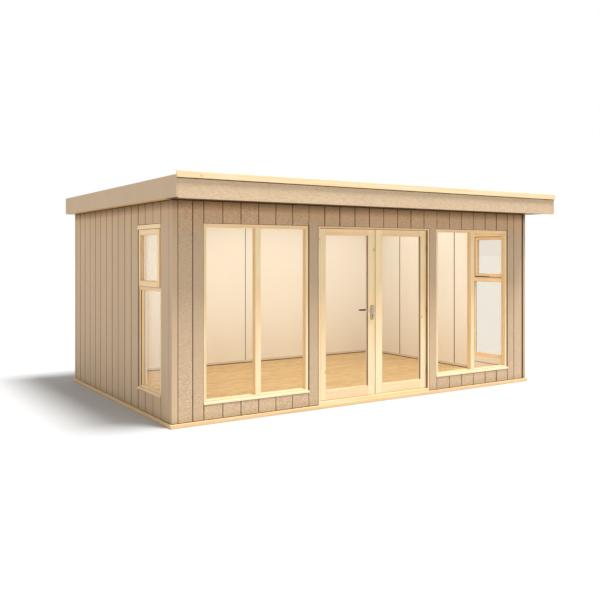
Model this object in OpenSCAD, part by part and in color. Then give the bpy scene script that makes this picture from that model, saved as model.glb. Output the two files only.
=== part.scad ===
// Garden room: a flat-roofed, insulated timber building with glazed double
// doors between two tall windows, and one tall window in each side wall.

/* [Room] */
// Width over the cladding
room_w = 5140; // [4600:10:6200]
// Depth over the cladding
room_d = 3300; // [2700:10:4200]
// Thickness of a wall panel with its cladding
wall_t = 90; // [75:1:140]
// Thickness of the inside lining
lining_t = 14; // [9:1:20]
// Width of a corner post seen from the front
post_w = 66; // [50:1:90]
// Spacing of the joints in the lining
panel_pitch = 1240; // [1000:10:1260]
// Width of a joint in the lining
joint_w = 10; // [4:1:16]

/* [Base and floor] */
// Height of the base
base_h = 38; // [30:1:60]
// Thickness of the plinth boards
plinth_t = 32; // [20:1:45]
// How far the plinth stands out from the cladding
plinth_out = 20; // [8:1:30]
// Thickness of the floor boards
floor_t = 22; // [12:1:28]
// Height of the skirting
skirting_h = 42; // [30:1:90]
// Thickness of the skirting
skirting_t = 12; // [8:1:20]

/* [Openings] */
// Height of the door and window heads above the base
head_h = 1992; // [1950:2:2060]
// Height of the wall over the heads
band_h = 240; // [180:2:320]
// Width over the door frame
door_w = 1644; // [1400:2:1800]
// Height of the underside of the front sills above the base
front_sill_h = 157; // [140:1:400]
// Width of the wall between a front corner and its window
end_w = 350; // [250:5:600]
// Width of the wall between a front window and the doors
pier_w = 128; // [80:1:240]
// Height of the underside of the side sills above the base
side_sill_h = 222; // [150:1:400]
// Width of a side window
side_window_w = 640; // [520:5:900]
// Distance of a side window from the front of the room
side_window_in = 284; // [200:2:500]

/* [Window joinery] */
// How far the frames lie behind the cladding
frame_in = 15; // [8:1:20]
// Visible width of the front frames
front_face = 33; // [26:1:60]
// Height of the bottom rail of a frame
frame_foot = 18; // [14:1:40]
// Width of the bar between the two front panes
mullion_w = 65; // [50:1:90]
// Visible width of the side frames
side_face = 46; // [40:1:60]
// Thickness of the glazing
glass_t = 14; // [6:1:20]
// Distance of the front glass behind the face of its frame
glass_in = 48; // [30:1:50]
// How far the glass reaches into its groove
glass_bite = 8; // [6:1:9]
// Clearance of the glass in its groove
glass_gap = 0.3; // [0.1:0.1:0.6]
// Height of the sills
sill_h = 23; // [18:1:40]
// How far the sills stand out from the cladding
sill_out = 6; // [4:1:40]
// How far the sills reach past the opening at each end
sill_ear = 3; // [2:1:20]

/* [Top lights] */
// Height of the opening light
light_h = 614; // [480:2:720]
// Height of the transom below the opening light
transom_h = 38; // [30:1:60]
// Width of the frame left showing beside the opening light
light_in = 30; // [24:1:34]
// Width of the stiles of the opening light
light_stile = 50; // [40:1:70]
// Height of the top rail of the opening light
light_top = 58; // [40:1:80]
// Height of the bottom rail of the opening light
light_foot = 64; // [50:1:80]
// Thickness of the opening light
light_t = 52; // [46:1:60]
// How far the opening light stands out from the cladding
light_out = 2; // [1:1:12]
// Height of the drip board over the opening light
drip_h = 46; // [30:1:60]
// How far the drip board stands out from the cladding
drip_out = 5; // [3:1:30]
// Length of the casement stay
stay_l = 275; // [200:5:340]
// Distance of the casement stay from the end of the window
stay_in = 58; // [54:1:120]

/* [Doors] */
// Visible width of the door frame
door_face = 20; // [16:1:40]
// How far the doors lie behind the face of the frame
leaf_in = 28; // [20:1:32]
// Thickness of a door
leaf_t = 44; // [38:1:46]
// Gap around a door
leaf_gap = 5; // [5:0.5:8]
// Gap between the two doors
meeting_gap = 8; // [7:0.5:12]
// Width of the hinge stile
hinge_stile = 91; // [70:1:120]
// Width of the meeting stile
meeting_stile = 102; // [90:1:130]
// Height of the top rail
leaf_top = 70; // [60:1:130]
// Height of the bottom rail
leaf_foot = 108; // [90:1:240]
// Height of the threshold
threshold_h = 35; // [24:1:50]
// How far the door stop stands in from the frame
stop_w = 15; // [10:1:20]
// Distance of the glass behind the face of a door
door_glass_in = 22; // [14:1:24]

/* [Hinges] */
// Radius of the hinge knuckles
knuckle_r = 6; // [5:0.5:7]
// Length of one knuckle
knuckle_l = 30; // [22:1:36]
// Radius of the hinge pin
pin_r = 3; // [2:0.5:3.5]
// Running clearance of the pin
pin_gap = 0.08; // [0.04:0.01:0.1]
// Thickness of the hinge plates
plate_t = 2.5; // [2:0.5:3]
// Distance of the outer hinges from the ends of a door
hinge_end = 220; // [150:5:320]

/* [Lock and handles] */
// Height of the handle axis above the base
handle_h = 1024; // [950:2:1080]
// Distance of the handle axis from the meeting edge
backset = 42; // [36:1:50]
// Width of the lock plates
lock_w = 40; // [34:1:46]
// Height of the lock plates
lock_h = 162; // [140:2:200]
// Thickness of the lock plates
lock_t = 8; // [6:1:10]
// Distance of the handle axis above the middle of the plate
lock_rise = 24; // [16:1:32]
// Distance of the key cylinder below the handle axis
key_drop = 62; // [54:1:68]
// Length of a lever from its axis
lever_l = 112; // [90:1:130]
// Radius of a lever
lever_r = 8; // [6:0.5:10]
// Radius of the neck of a lever
neck_r = 9; // [8:0.5:11]
// Distance of a lever from its plate
neck_l = 40; // [32:1:50]

/* [Roof] */
// How far the roof stands out at the front
eave_front = 380; // [250:5:500]
// How far the roof stands out at each side
eave_side = 116; // [80:2:200]
// How far the roof stands out at the back
eave_back = 30; // [26:1:80]
// Height of the fascia boards
fascia_h = 212; // [200:2:260]
// Thickness of the fascia boards
fascia_t = 20; // [16:1:24]
// How far the fascia hangs below the soffit
fascia_lip = 4; // [0:1:20]
// Thickness of the soffit and ceiling boards
soffit_t = 10; // [8:1:15]
// Thickness of the roof panel at the front
roof_t = 165; // [150:1:170]
// Fall of the roof from front to back
roof_fall = 45; // [30:1:60]
// Thickness of the roof sheet
sheet_t = 4; // [3:1:6]
// Height of the front roof trim
trim_h = 63; // [40:1:90]
// Thickness of the front roof trim
trim_t = 22; // [16:1:32]
// How far the front roof trim rises above the fascia
trim_up = 33; // [15:1:40]

/* [Hidden] */
$fn = 64;
over = 1;
butt_gap = 0.5;
wall_x = room_w / 2;
wall_y = room_d / 2;
wall_all = wall_t + lining_t;
core_x = wall_x - wall_t;
core_y = wall_y - wall_t;
room_x = wall_x - wall_all;
room_y = wall_y - wall_all;
floor_z = base_h + floor_t;
head_z = base_h + head_h;
roof_z = head_z + band_h;
ceiling_z = roof_z - soffit_t;
plinth_x = wall_x + plinth_out;
plinth_y = wall_y + plinth_out;

front_window_w = room_w / 2 - door_w / 2 - pier_w - end_w;
window_x = pier_w + front_window_w;
door_x = door_w / 2;
front_z = base_h + front_sill_h;
front_frame_z = front_z + sill_h;
front_glass_z = front_frame_z + frame_foot;
pane_w = (front_window_w - mullion_w) / 2 - front_face;
front_pane_1 = [front_face, front_face + pane_w, front_glass_z, head_z - front_face];
front_pane_2 = [front_window_w - front_face - pane_w, front_window_w - front_face,
    front_glass_z, head_z - front_face];
front_panes = [front_pane_1, front_pane_2];

side_z = base_h + side_sill_h;
side_frame_z = side_z + sill_h;
side_window_y = -wall_y + side_window_in + side_window_w;
light_head = head_z - drip_h;
light_z = light_head - light_h;
light_back = light_t - light_out;
light_lap = side_face - light_in;
low_pane = [side_face, side_window_w - side_face, side_frame_z + frame_foot, light_z - transom_h];
light_pane = [light_in + light_stile, side_window_w - light_in - light_stile,
    light_z + light_foot, light_head - light_top];
bead_t = 6;
light_glass_in = light_back - glass_t - bead_t;

jamb_x = door_x - door_face;
stop_y = -wall_y + leaf_in + leaf_t + leaf_gap;
leaf_x = jamb_x - leaf_gap;
leaf_y = -wall_y + leaf_in;
leaf_z = base_h + threshold_h + leaf_gap;
leaf_head = head_z - door_face - leaf_gap;
door_pane = [-leaf_x + hinge_stile, -meeting_gap / 2 - meeting_stile,
    leaf_z + leaf_foot, leaf_head - leaf_top];
knuckle_gap = 0.3;
hinge_x = jamb_x - knuckle_r - knuckle_gap;
hinge_y = leaf_y - knuckle_r - knuckle_gap;
hinge_zs = [leaf_z + hinge_end, (leaf_z + leaf_head) / 2, leaf_head - hinge_end];
plate_w = 36;

handle_x = -meeting_gap / 2 - backset;
handle_z = base_h + handle_h;
lock_z = handle_z - lock_rise;
key_z = handle_z - key_drop;
spindle_w = 8;
key_r = 8.5;
key_w = 10;
key_leg = 22;
key_out = 3;
keyway_w = 2;
keyway_h = 10;
keyway_in = 4;
lock_gap = 0.5;

stay_rise = 9;
stay_h = 14;
stay_t = 8;
knob_r = 7;
knob_neck_r = 4;
knob_out = 20;

eave_x = wall_x + eave_side;
eave_y = -wall_y - eave_front;
back_y = wall_y + eave_back;
deck_x = eave_x - fascia_t;
deck_y = eave_y + fascia_t;
deck_back = back_y - fascia_t;
fascia_z = ceiling_z - fascia_lip;
fascia_top = fascia_z + fascia_h;
deck_front_z = roof_z + roof_t;
deck_back_z = deck_front_z - roof_fall;
edge_z = deck_back_z - roof_fall * fascia_t / (deck_back - deck_y);
sheet_gap = 0.1;

// Box between two opposite corners
module box(a, b) {
    translate(a)
        cube(b - a);
}

// Drawn on the left and mirrored to the right
module to_right() {
    mirror([1, 0, 0])
        children();
}

module both_sides() {
    children();
    to_right()
        children();
}

// A window is drawn with x along its wall, y inward from the cladding and z up
module at_front_window() {
    translate([-door_x - window_x, -wall_y, 0])
        children();
}

module at_side_window() {
    translate([-wall_x, side_window_y, 0])
        rotate([0, 0, -90])
            children();
}

// Hole through a wall for a window that starts at the sill
module front_hole() {
    at_front_window()
        box([0, -over, front_z], [front_window_w, wall_all + over, head_z]);
}

module side_hole() {
    at_side_window()
        box([0, -over, side_z], [side_window_w, wall_all + over, head_z]);
}

module see_through(pane, depth) {
    box([pane[0], -over - light_out, pane[2]], [pane[1], depth + over, pane[3]]);
}

module glass(pane, inset, gap) {
    bite = glass_bite + gap;
    box([pane[0] - bite, inset - gap, pane[2] - bite],
        [pane[1] + bite, inset + glass_t + gap, pane[3] + bite]);
}

// Base and floor
module floor_panel() {
    color("#c9b48c")
        box([-plinth_x + plinth_t, -plinth_y + plinth_t, 0],
            [plinth_x - plinth_t, plinth_y - plinth_t, base_h]);
}

module plinth() {
    color("#e8cf9c") {
        both_sides()
            box([-plinth_x, -plinth_y + plinth_t + butt_gap, 0],
                [-plinth_x + plinth_t, plinth_y - plinth_t - butt_gap, base_h]);
        box([-plinth_x, -plinth_y, 0], [plinth_x, -plinth_y + plinth_t, base_h]);
        box([-plinth_x, plinth_y - plinth_t, 0], [plinth_x, plinth_y, base_h]);
    }
}

module floor_boards() {
    color("#d9b27c")
        box([-core_x, -core_y, base_h], [core_x, core_y, floor_z]);
}

module skirting() {
    low = floor_z;
    top = floor_z + skirting_h;
    inner_y = room_y - skirting_t - butt_gap;
    color("#ece4d6") {
        both_sides() {
            box([-room_x, -inner_y, low], [-room_x + skirting_t, inner_y, top]);
            box([-room_x, -room_y, low], [-door_x, -room_y + skirting_t, top]);
        }
        box([-room_x, room_y - skirting_t, low], [room_x, room_y, top]);
    }
}

// Walls
module corner_posts() {
    color("#cbb08c")
        both_sides() {
            box([-wall_x, -wall_y, base_h], [-wall_x + post_w, -core_y, roof_z]);
            box([-wall_x, core_y, base_h], [-wall_x + post_w, wall_y, roof_z]);
        }
}

module front_wall_left() {
    color("#d3b894")
        difference() {
            box([-wall_x + post_w, -wall_y, base_h], [-door_x, -core_y, roof_z]);
            front_hole();
        }
}

module front_wall_right() {
    to_right()
        front_wall_left();
}

module front_wall_head() {
    color("#d3b894")
        box([-door_x, -wall_y, head_z], [door_x, -core_y, roof_z]);
}

module left_wall() {
    color("#c2a684")
        difference() {
            box([-wall_x, -core_y, base_h], [-core_x, core_y, roof_z]);
            side_hole();
        }
}

module right_wall() {
    to_right()
        left_wall();
}

module back_wall() {
    color("#c2a684")
        box([-wall_x + post_w, core_y, base_h], [wall_x - post_w, wall_y, roof_z]);
}

// Lining and ceiling
module front_lining() {
    color("#f1e3cc")
        difference() {
            box([-core_x, -core_y, floor_z], [core_x, -room_y, ceiling_z]);
            box([-door_x, -core_y - over, base_h], [door_x, -room_y + over, head_z]);
            both_sides() {
                front_hole();
                box([-door_x - joint_w, -core_y - over, head_z - over],
                    [-door_x, -room_y + over, roof_z]);
            }
        }
}

module left_lining() {
    color("#f1e3cc")
        difference() {
            box([-core_x, -room_y, floor_z], [-room_x, room_y, ceiling_z]);
            side_hole();
            for (joint_y = [-wall_y + panel_pitch, -wall_y + 2 * panel_pitch])
                box([-core_x - over, joint_y - joint_w / 2, base_h],
                    [-room_x + over, joint_y + joint_w / 2, roof_z]);
        }
}

module right_lining() {
    to_right()
        left_lining();
}

module back_lining() {
    color("#f1e3cc")
        difference() {
            box([-core_x, room_y, floor_z], [core_x, core_y, ceiling_z]);
            for (joint_x = [-panel_pitch, 0, panel_pitch])
                box([joint_x - joint_w / 2, room_y - over, base_h],
                    [joint_x + joint_w / 2, core_y + over, roof_z]);
        }
}

module ceiling() {
    color("#f4ecdd")
        box([-core_x, -core_y, ceiling_z], [core_x, core_y, roof_z]);
}

// Roof
module roof_panel() {
    color("#b9a27e")
        translate([-deck_x, 0, 0])
            rotate([90, 0, 90])
                linear_extrude(2 * deck_x)
                    polygon([[deck_y, roof_z], [deck_back, roof_z],
                        [deck_back, deck_back_z], [deck_y, deck_front_z]]);
}

module roof_sheet() {
    color("#3b3d40")
        translate([-deck_x, 0, 0])
            rotate([90, 0, 90])
                linear_extrude(2 * deck_x)
                    translate([0, sheet_gap])
                        polygon([[deck_y, deck_front_z], [back_y, edge_z],
                            [back_y, edge_z + sheet_t], [deck_y, deck_front_z + sheet_t]]);
}

module front_fascia() {
    color("#dbc2a2")
        box([-deck_x, eave_y, fascia_z], [deck_x, deck_y, fascia_top]);
}

module left_fascia() {
    color("#c4aa8c")
        box([-eave_x, eave_y, fascia_z], [-deck_x, back_y, fascia_top]);
}

module right_fascia() {
    to_right()
        left_fascia();
}

module back_fascia() {
    color("#c4aa8c")
        translate([-deck_x, 0, 0])
            rotate([90, 0, 90])
                linear_extrude(2 * deck_x)
                    polygon([[deck_back, fascia_z], [back_y, fascia_z],
                        [back_y, edge_z], [deck_back, deck_back_z]]);
}

module front_trim() {
    color("#f5dfb8")
        box([-eave_x, eave_y - trim_t, fascia_top + trim_up - trim_h],
            [eave_x, eave_y, fascia_top + trim_up]);
}

module soffits() {
    color("#efd6a8") {
        box([-deck_x, deck_y, ceiling_z], [deck_x, -wall_y, roof_z]);
        both_sides()
            box([-deck_x, -wall_y + butt_gap, ceiling_z], [-wall_x, deck_back, roof_z]);
        box([-wall_x + butt_gap, wall_y, ceiling_z], [wall_x - butt_gap, deck_back, roof_z]);
    }
}

// Front windows
module left_front_frame() {
    color("#e9cf9f")
        at_front_window()
            difference() {
                box([0, frame_in, front_frame_z], [front_window_w, wall_all, head_z]);
                for (pane = front_panes) {
                    see_through(pane, wall_all);
                    glass(pane, frame_in + glass_in, glass_gap);
                }
            }
}

module right_front_frame() {
    to_right()
        left_front_frame();
}

module left_front_glass() {
    color("#d5e2e2", 0.35)
        at_front_window()
            for (pane = front_panes)
                glass(pane, frame_in + glass_in, 0);
}

module right_front_glass() {
    to_right()
        left_front_glass();
}

// Side windows
module left_side_frame() {
    color("#e9cf9f")
        at_side_window()
            difference() {
                union() {
                    box([0, frame_in, side_frame_z], [side_window_w, wall_all, head_z]);
                    box([0, -drip_out, light_head], [side_window_w, frame_in, head_z]);
                }
                see_through(low_pane, wall_all);
                glass(low_pane, frame_in + glass_in, glass_gap);
                box([light_in, 0, light_z],
                    [side_window_w - light_in, light_back, light_head]);
                box([side_face, 0, light_z + light_lap],
                    [side_window_w - side_face, wall_all + over, light_head - light_lap]);
            }
}

module right_side_frame() {
    to_right()
        left_side_frame();
}

module left_side_light() {
    color("#ecd4a6")
        at_side_window()
            difference() {
                box([light_in, -light_out, light_z],
                    [side_window_w - light_in, light_back, light_head]);
                see_through(light_pane, light_back);
                glass(light_pane, light_glass_in, glass_gap);
            }
}

module right_side_light() {
    to_right()
        left_side_light();
}

module left_side_glass() {
    color("#d5e2e2", 0.35)
        at_side_window() {
            glass(low_pane, frame_in + glass_in, 0);
            glass(light_pane, light_glass_in, 0);
        }
}

module right_side_glass() {
    to_right()
        left_side_glass();
}

// Sills run through the wall and stand out past the opening outside
module sill(width, low) {
    box([0, 0, low], [width, wall_all, low + sill_h]);
    box([-sill_ear, -sill_out, low], [width + sill_ear, 0, low + sill_h]);
}

module front_sills() {
    color("#f0d9ae")
        both_sides()
            at_front_window()
                sill(front_window_w, front_z);
}

module side_sills() {
    color("#f0d9ae")
        both_sides()
            at_side_window()
                sill(side_window_w, side_z);
}

module casement_stays() {
    stay_z = light_z + light_lap + stay_rise;
    color("#2e2a27")
        both_sides()
            at_side_window()
                translate([stay_in + stay_l / 2, light_back, stay_z]) {
                    box([-stay_l / 2, 0, -stay_h / 2], [stay_l / 2, stay_t, stay_h / 2]);
                    rotate([-90, 0, 0])
                        cylinder(r = knob_neck_r, h = knob_out);
                    translate([0, knob_out, 0])
                        sphere(r = knob_r);
                }
}

// Doors
module hinge_heights() {
    for (hinge_z = hinge_zs)
        translate([0, 0, hinge_z])
            children();
}

module frame_plate() {
    half = knuckle_l * 1.5;
    box([-jamb_x - plate_t, hinge_y - plate_t / 2, -half],
        [-jamb_x, hinge_y + plate_w, half]);
}

module leaf_plate() {
    half = knuckle_l * 1.5;
    box([-leaf_x, leaf_y, -half], [-leaf_x + plate_t, leaf_y + plate_w, half]);
}

module frame_hinge() {
    half = knuckle_l * 1.5;
    frame_plate();
    translate([-hinge_x, hinge_y, -half])
        cylinder(r = pin_r, h = 2 * half);
    for (low = [-half, half - knuckle_l]) {
        translate([-hinge_x, hinge_y, low])
            cylinder(r = knuckle_r, h = knuckle_l);
        box([-jamb_x - plate_t, hinge_y - plate_t / 2, low],
            [-hinge_x, hinge_y + plate_t / 2, low + knuckle_l]);
    }
}

module leaf_hinge() {
    half = knuckle_l / 2 - butt_gap;
    difference() {
        union() {
            leaf_plate();
            translate([-hinge_x, hinge_y, -half])
                cylinder(r = knuckle_r, h = 2 * half);
            box([-leaf_x, hinge_y, -half], [-leaf_x + plate_t, leaf_y + plate_t, half]);
        }
        translate([-hinge_x, hinge_y, -half - over])
            cylinder(r = pin_r + pin_gap, h = 2 * half + 2 * over);
    }
}

module door_frame() {
    color("#ecd3a4")
        difference() {
            box([-door_x, -wall_y, base_h], [door_x, -room_y, head_z]);
            box([-jamb_x, -wall_y - over, base_h + threshold_h],
                [jamb_x, stop_y, head_z - door_face]);
            box([-jamb_x + stop_w, -wall_y, base_h + threshold_h],
                [jamb_x - stop_w, -room_y + over, head_z - door_face - stop_w]);
            box([-door_x - over, -core_y, base_h - over], [door_x + over, -room_y + over, floor_z]);
            both_sides()
                hinge_heights()
                    frame_plate();
        }
}

module frame_hinges() {
    color("#7d6a4f")
        both_sides()
            hinge_heights()
                frame_hinge();
}

module plain_leaf() {
    difference() {
        box([-leaf_x, leaf_y, leaf_z], [-meeting_gap / 2, leaf_y + leaf_t, leaf_head]);
        translate([0, leaf_y, 0]) {
            see_through(door_pane, leaf_t);
            glass(door_pane, door_glass_in, glass_gap);
        }
        hinge_heights()
            leaf_plate();
    }
}

module leaf_glass() {
    color("#d5e2e2", 0.35)
        translate([0, leaf_y, 0])
            glass(door_pane, door_glass_in, 0);
}

module key_barrel(gap, reach) {
    translate([handle_x, leaf_y - reach, key_z])
        rotate([-90, 0, 0])
            cylinder(r = key_r + gap, h = leaf_t + 2 * reach);
    box([handle_x - key_w / 2 - gap, leaf_y - reach, key_z - key_leg - gap],
        [handle_x + key_w / 2 + gap, leaf_y + leaf_t + reach, key_z]);
}

module left_door() {
    color("#ecd3a4")
        difference() {
            plain_leaf();
            key_barrel(lock_gap, over);
            translate([handle_x, leaf_y - over, handle_z])
                rotate([-90, 0, 0])
                    cylinder(r = neck_r + over, h = leaf_t + 2 * over);
        }
}

module left_door_glass() {
    leaf_glass();
}

module left_door_hinges() {
    color("#7d6a4f")
        hinge_heights()
            leaf_hinge();
}

// Lock plate with round ends, standing out from the face at y = 0
module lock_plate() {
    end = lock_h / 2 - lock_w / 2;
    box([handle_x - lock_w / 2, -lock_t, lock_z - end],
        [handle_x + lock_w / 2, 0, lock_z + end]);
    for (rise = [-end, end])
        translate([handle_x, -lock_t, lock_z + rise])
            rotate([-90, 0, 0])
                cylinder(r = lock_w / 2, h = lock_t);
}

module lock_set() {
    color("#c9c8c4")
        difference() {
            union() {
                key_barrel(0, lock_t + key_out);
                translate([0, leaf_y, 0])
                    lock_plate();
                translate([0, leaf_y + leaf_t + lock_t, 0])
                    lock_plate();
            }
            translate([handle_x, leaf_y - lock_t - over, handle_z])
                rotate([-90, 0, 0])
                    cylinder(r = neck_r + pin_gap, h = leaf_t + 2 * lock_t + 2 * over);
            for (face_y = [leaf_y - lock_t - key_out, leaf_y + leaf_t + lock_t + key_out])
                box([handle_x - keyway_w / 2, face_y - keyway_in, key_z - keyway_h / 2],
                    [handle_x + keyway_w / 2, face_y + keyway_in, key_z + keyway_h / 2]);
        }
}

// Lever reaching from the face at y = 0 towards the viewer
module lever() {
    arm_y = -lock_t - neck_l;
    translate([0, arm_y, 0])
        rotate([-90, 0, 0])
            cylinder(r = neck_r, h = lock_t + neck_l);
    translate([0, arm_y, 0])
        sphere(r = neck_r);
    translate([0, arm_y, 0])
        rotate([0, -90, 0])
            cylinder(r = lever_r, h = lever_l);
    translate([-lever_l, arm_y, 0])
        sphere(r = lever_r);
}

module levers() {
    color("#c9c8c4")
        translate([handle_x, leaf_y, handle_z]) {
            lever();
            translate([0, leaf_t, 0])
                mirror([0, 1, 0])
                    lever();
            box([-spindle_w / 2, -over, -spindle_w / 2],
                [spindle_w / 2, leaf_t + over, spindle_w / 2]);
        }
}

module right_door() {
    color("#ecd3a4")
        to_right()
            plain_leaf();
}

module right_door_glass() {
    to_right()
        leaf_glass();
}

module right_door_hinges() {
    color("#7d6a4f")
        to_right()
            hinge_heights()
                leaf_hinge();
}

floor_panel();
plinth();
floor_boards();
skirting();
corner_posts();
front_wall_left();
front_wall_right();
front_wall_head();
left_wall();
right_wall();
back_wall();
front_lining();
left_lining();
right_lining();
back_lining();
ceiling();
roof_panel();
roof_sheet();
front_fascia();
left_fascia();
right_fascia();
back_fascia();
front_trim();
soffits();
left_front_frame();
left_front_glass();
right_front_frame();
right_front_glass();
left_side_frame();
left_side_light();
left_side_glass();
right_side_frame();
right_side_light();
right_side_glass();
front_sills();
side_sills();
casement_stays();
door_frame();
frame_hinges();
left_door();
left_door_glass();
left_door_hinges();
lock_set();
levers();
right_door();
right_door_glass();
right_door_hinges();
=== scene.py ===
"""Garden room with a flat roof, tall windows and glazed double doors, dressed over its CAD frame."""

import math
import random

import bmesh
import bpy
from mathutils import Matrix, Vector


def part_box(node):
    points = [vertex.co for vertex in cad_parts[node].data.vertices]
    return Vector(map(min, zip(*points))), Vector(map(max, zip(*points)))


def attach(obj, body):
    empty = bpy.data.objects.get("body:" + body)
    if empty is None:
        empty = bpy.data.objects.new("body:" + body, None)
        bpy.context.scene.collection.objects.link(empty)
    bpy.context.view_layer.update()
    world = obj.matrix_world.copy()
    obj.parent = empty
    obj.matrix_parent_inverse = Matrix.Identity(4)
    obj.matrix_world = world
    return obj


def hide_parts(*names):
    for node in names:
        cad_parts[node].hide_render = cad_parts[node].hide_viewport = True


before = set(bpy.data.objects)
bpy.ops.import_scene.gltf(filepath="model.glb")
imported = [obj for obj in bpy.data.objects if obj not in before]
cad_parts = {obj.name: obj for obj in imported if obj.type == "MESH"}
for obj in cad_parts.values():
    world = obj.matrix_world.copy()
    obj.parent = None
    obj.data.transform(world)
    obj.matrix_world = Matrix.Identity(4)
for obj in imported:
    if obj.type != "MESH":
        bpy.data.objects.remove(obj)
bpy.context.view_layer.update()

bl_info = {
    "name": "Garden Room",
    "version": (1, 0, 0),
    "blender": (4, 5, 0),
    "location": "3D View > Sidebar > Garden Room",
    "description": "Dresses the frame of a garden room with boards, joinery, glass and ironmongery",
    "category": "Object",
}

# Stands a board up that lies flat, so that its upper face looks to the front
UPRIGHT = Matrix.Rotation(math.pi / 2, 4, "X")
# Rounding of planed, softened and well rounded edges, in metres
EASED, SOFTENED, ROUNDED = 0.002, 0.003, 0.004
# Gap where two boards meet end to end, in metres
HAIR = 0.0005
# How far a thin facing stays back from the inner face of a bar, in metres
BACK_LIP = 0.001
# Farther than any sill reaches, in metres
FAR = 1.0
# Closer than this counts as touching, in metres
NEAR = 1e-5
# Least angles at the edges of a board and of a turned piece that are eased, in radians
CREASE, RIM = 0.5, 1.0
# Angle over which the edge of a smooth piece stays sharp, in radians
SHARP = math.radians(35)
# Back and face of the key slot, as shares of how far the key cylinder stands out
SLOT = (0.9, 1.02)
# Where the planks of four rows in turn are joined, as shares of a row
PLANK_JOINTS = (0.22, 0.61, 0.40, 0.80)
# Least and most of a groove that falls to one board, on the front and back and on the sides
FRONT_SHARES, SIDE_SHARES = (0.3, 0.72), (0.12, 0.78)
# Widest last board of a side wall, in boards
LAST_BOARD = 1.7


def tone(red, green, blue):
    """A colour as a paint chart gives it, 0 to 255, made linear."""
    chart = (value / 255 for value in (red, green, blue))
    return tuple(v / 12.92 if v < 0.04045 else ((v + 0.055) / 1.055) ** 2.4 for v in chart)


def length(name, description, default):
    """A size in metres."""
    return bpy.props.FloatProperty(
        name=name, description=description, default=default, unit="LENGTH", precision=4
    )


def number(name, description, default, unit="NONE"):
    """An angle, a strength or a power."""
    return bpy.props.FloatProperty(name=name, description=description, default=default, unit=unit)


def colour(name, description, *chart):
    """A colour from the paint chart."""
    return bpy.props.FloatVectorProperty(
        name=name, description=description, default=tone(*chart), subtype="COLOR", min=0, max=1
    )


def kept_shares(name, description, *shares):
    """Shares of red, green and blue kept of the colour under it: the grain's stain, what a pane lets through,
    and tints of painted light and shade.
    """
    return bpy.props.FloatVectorProperty(name=name, description=description, default=shares)


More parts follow.
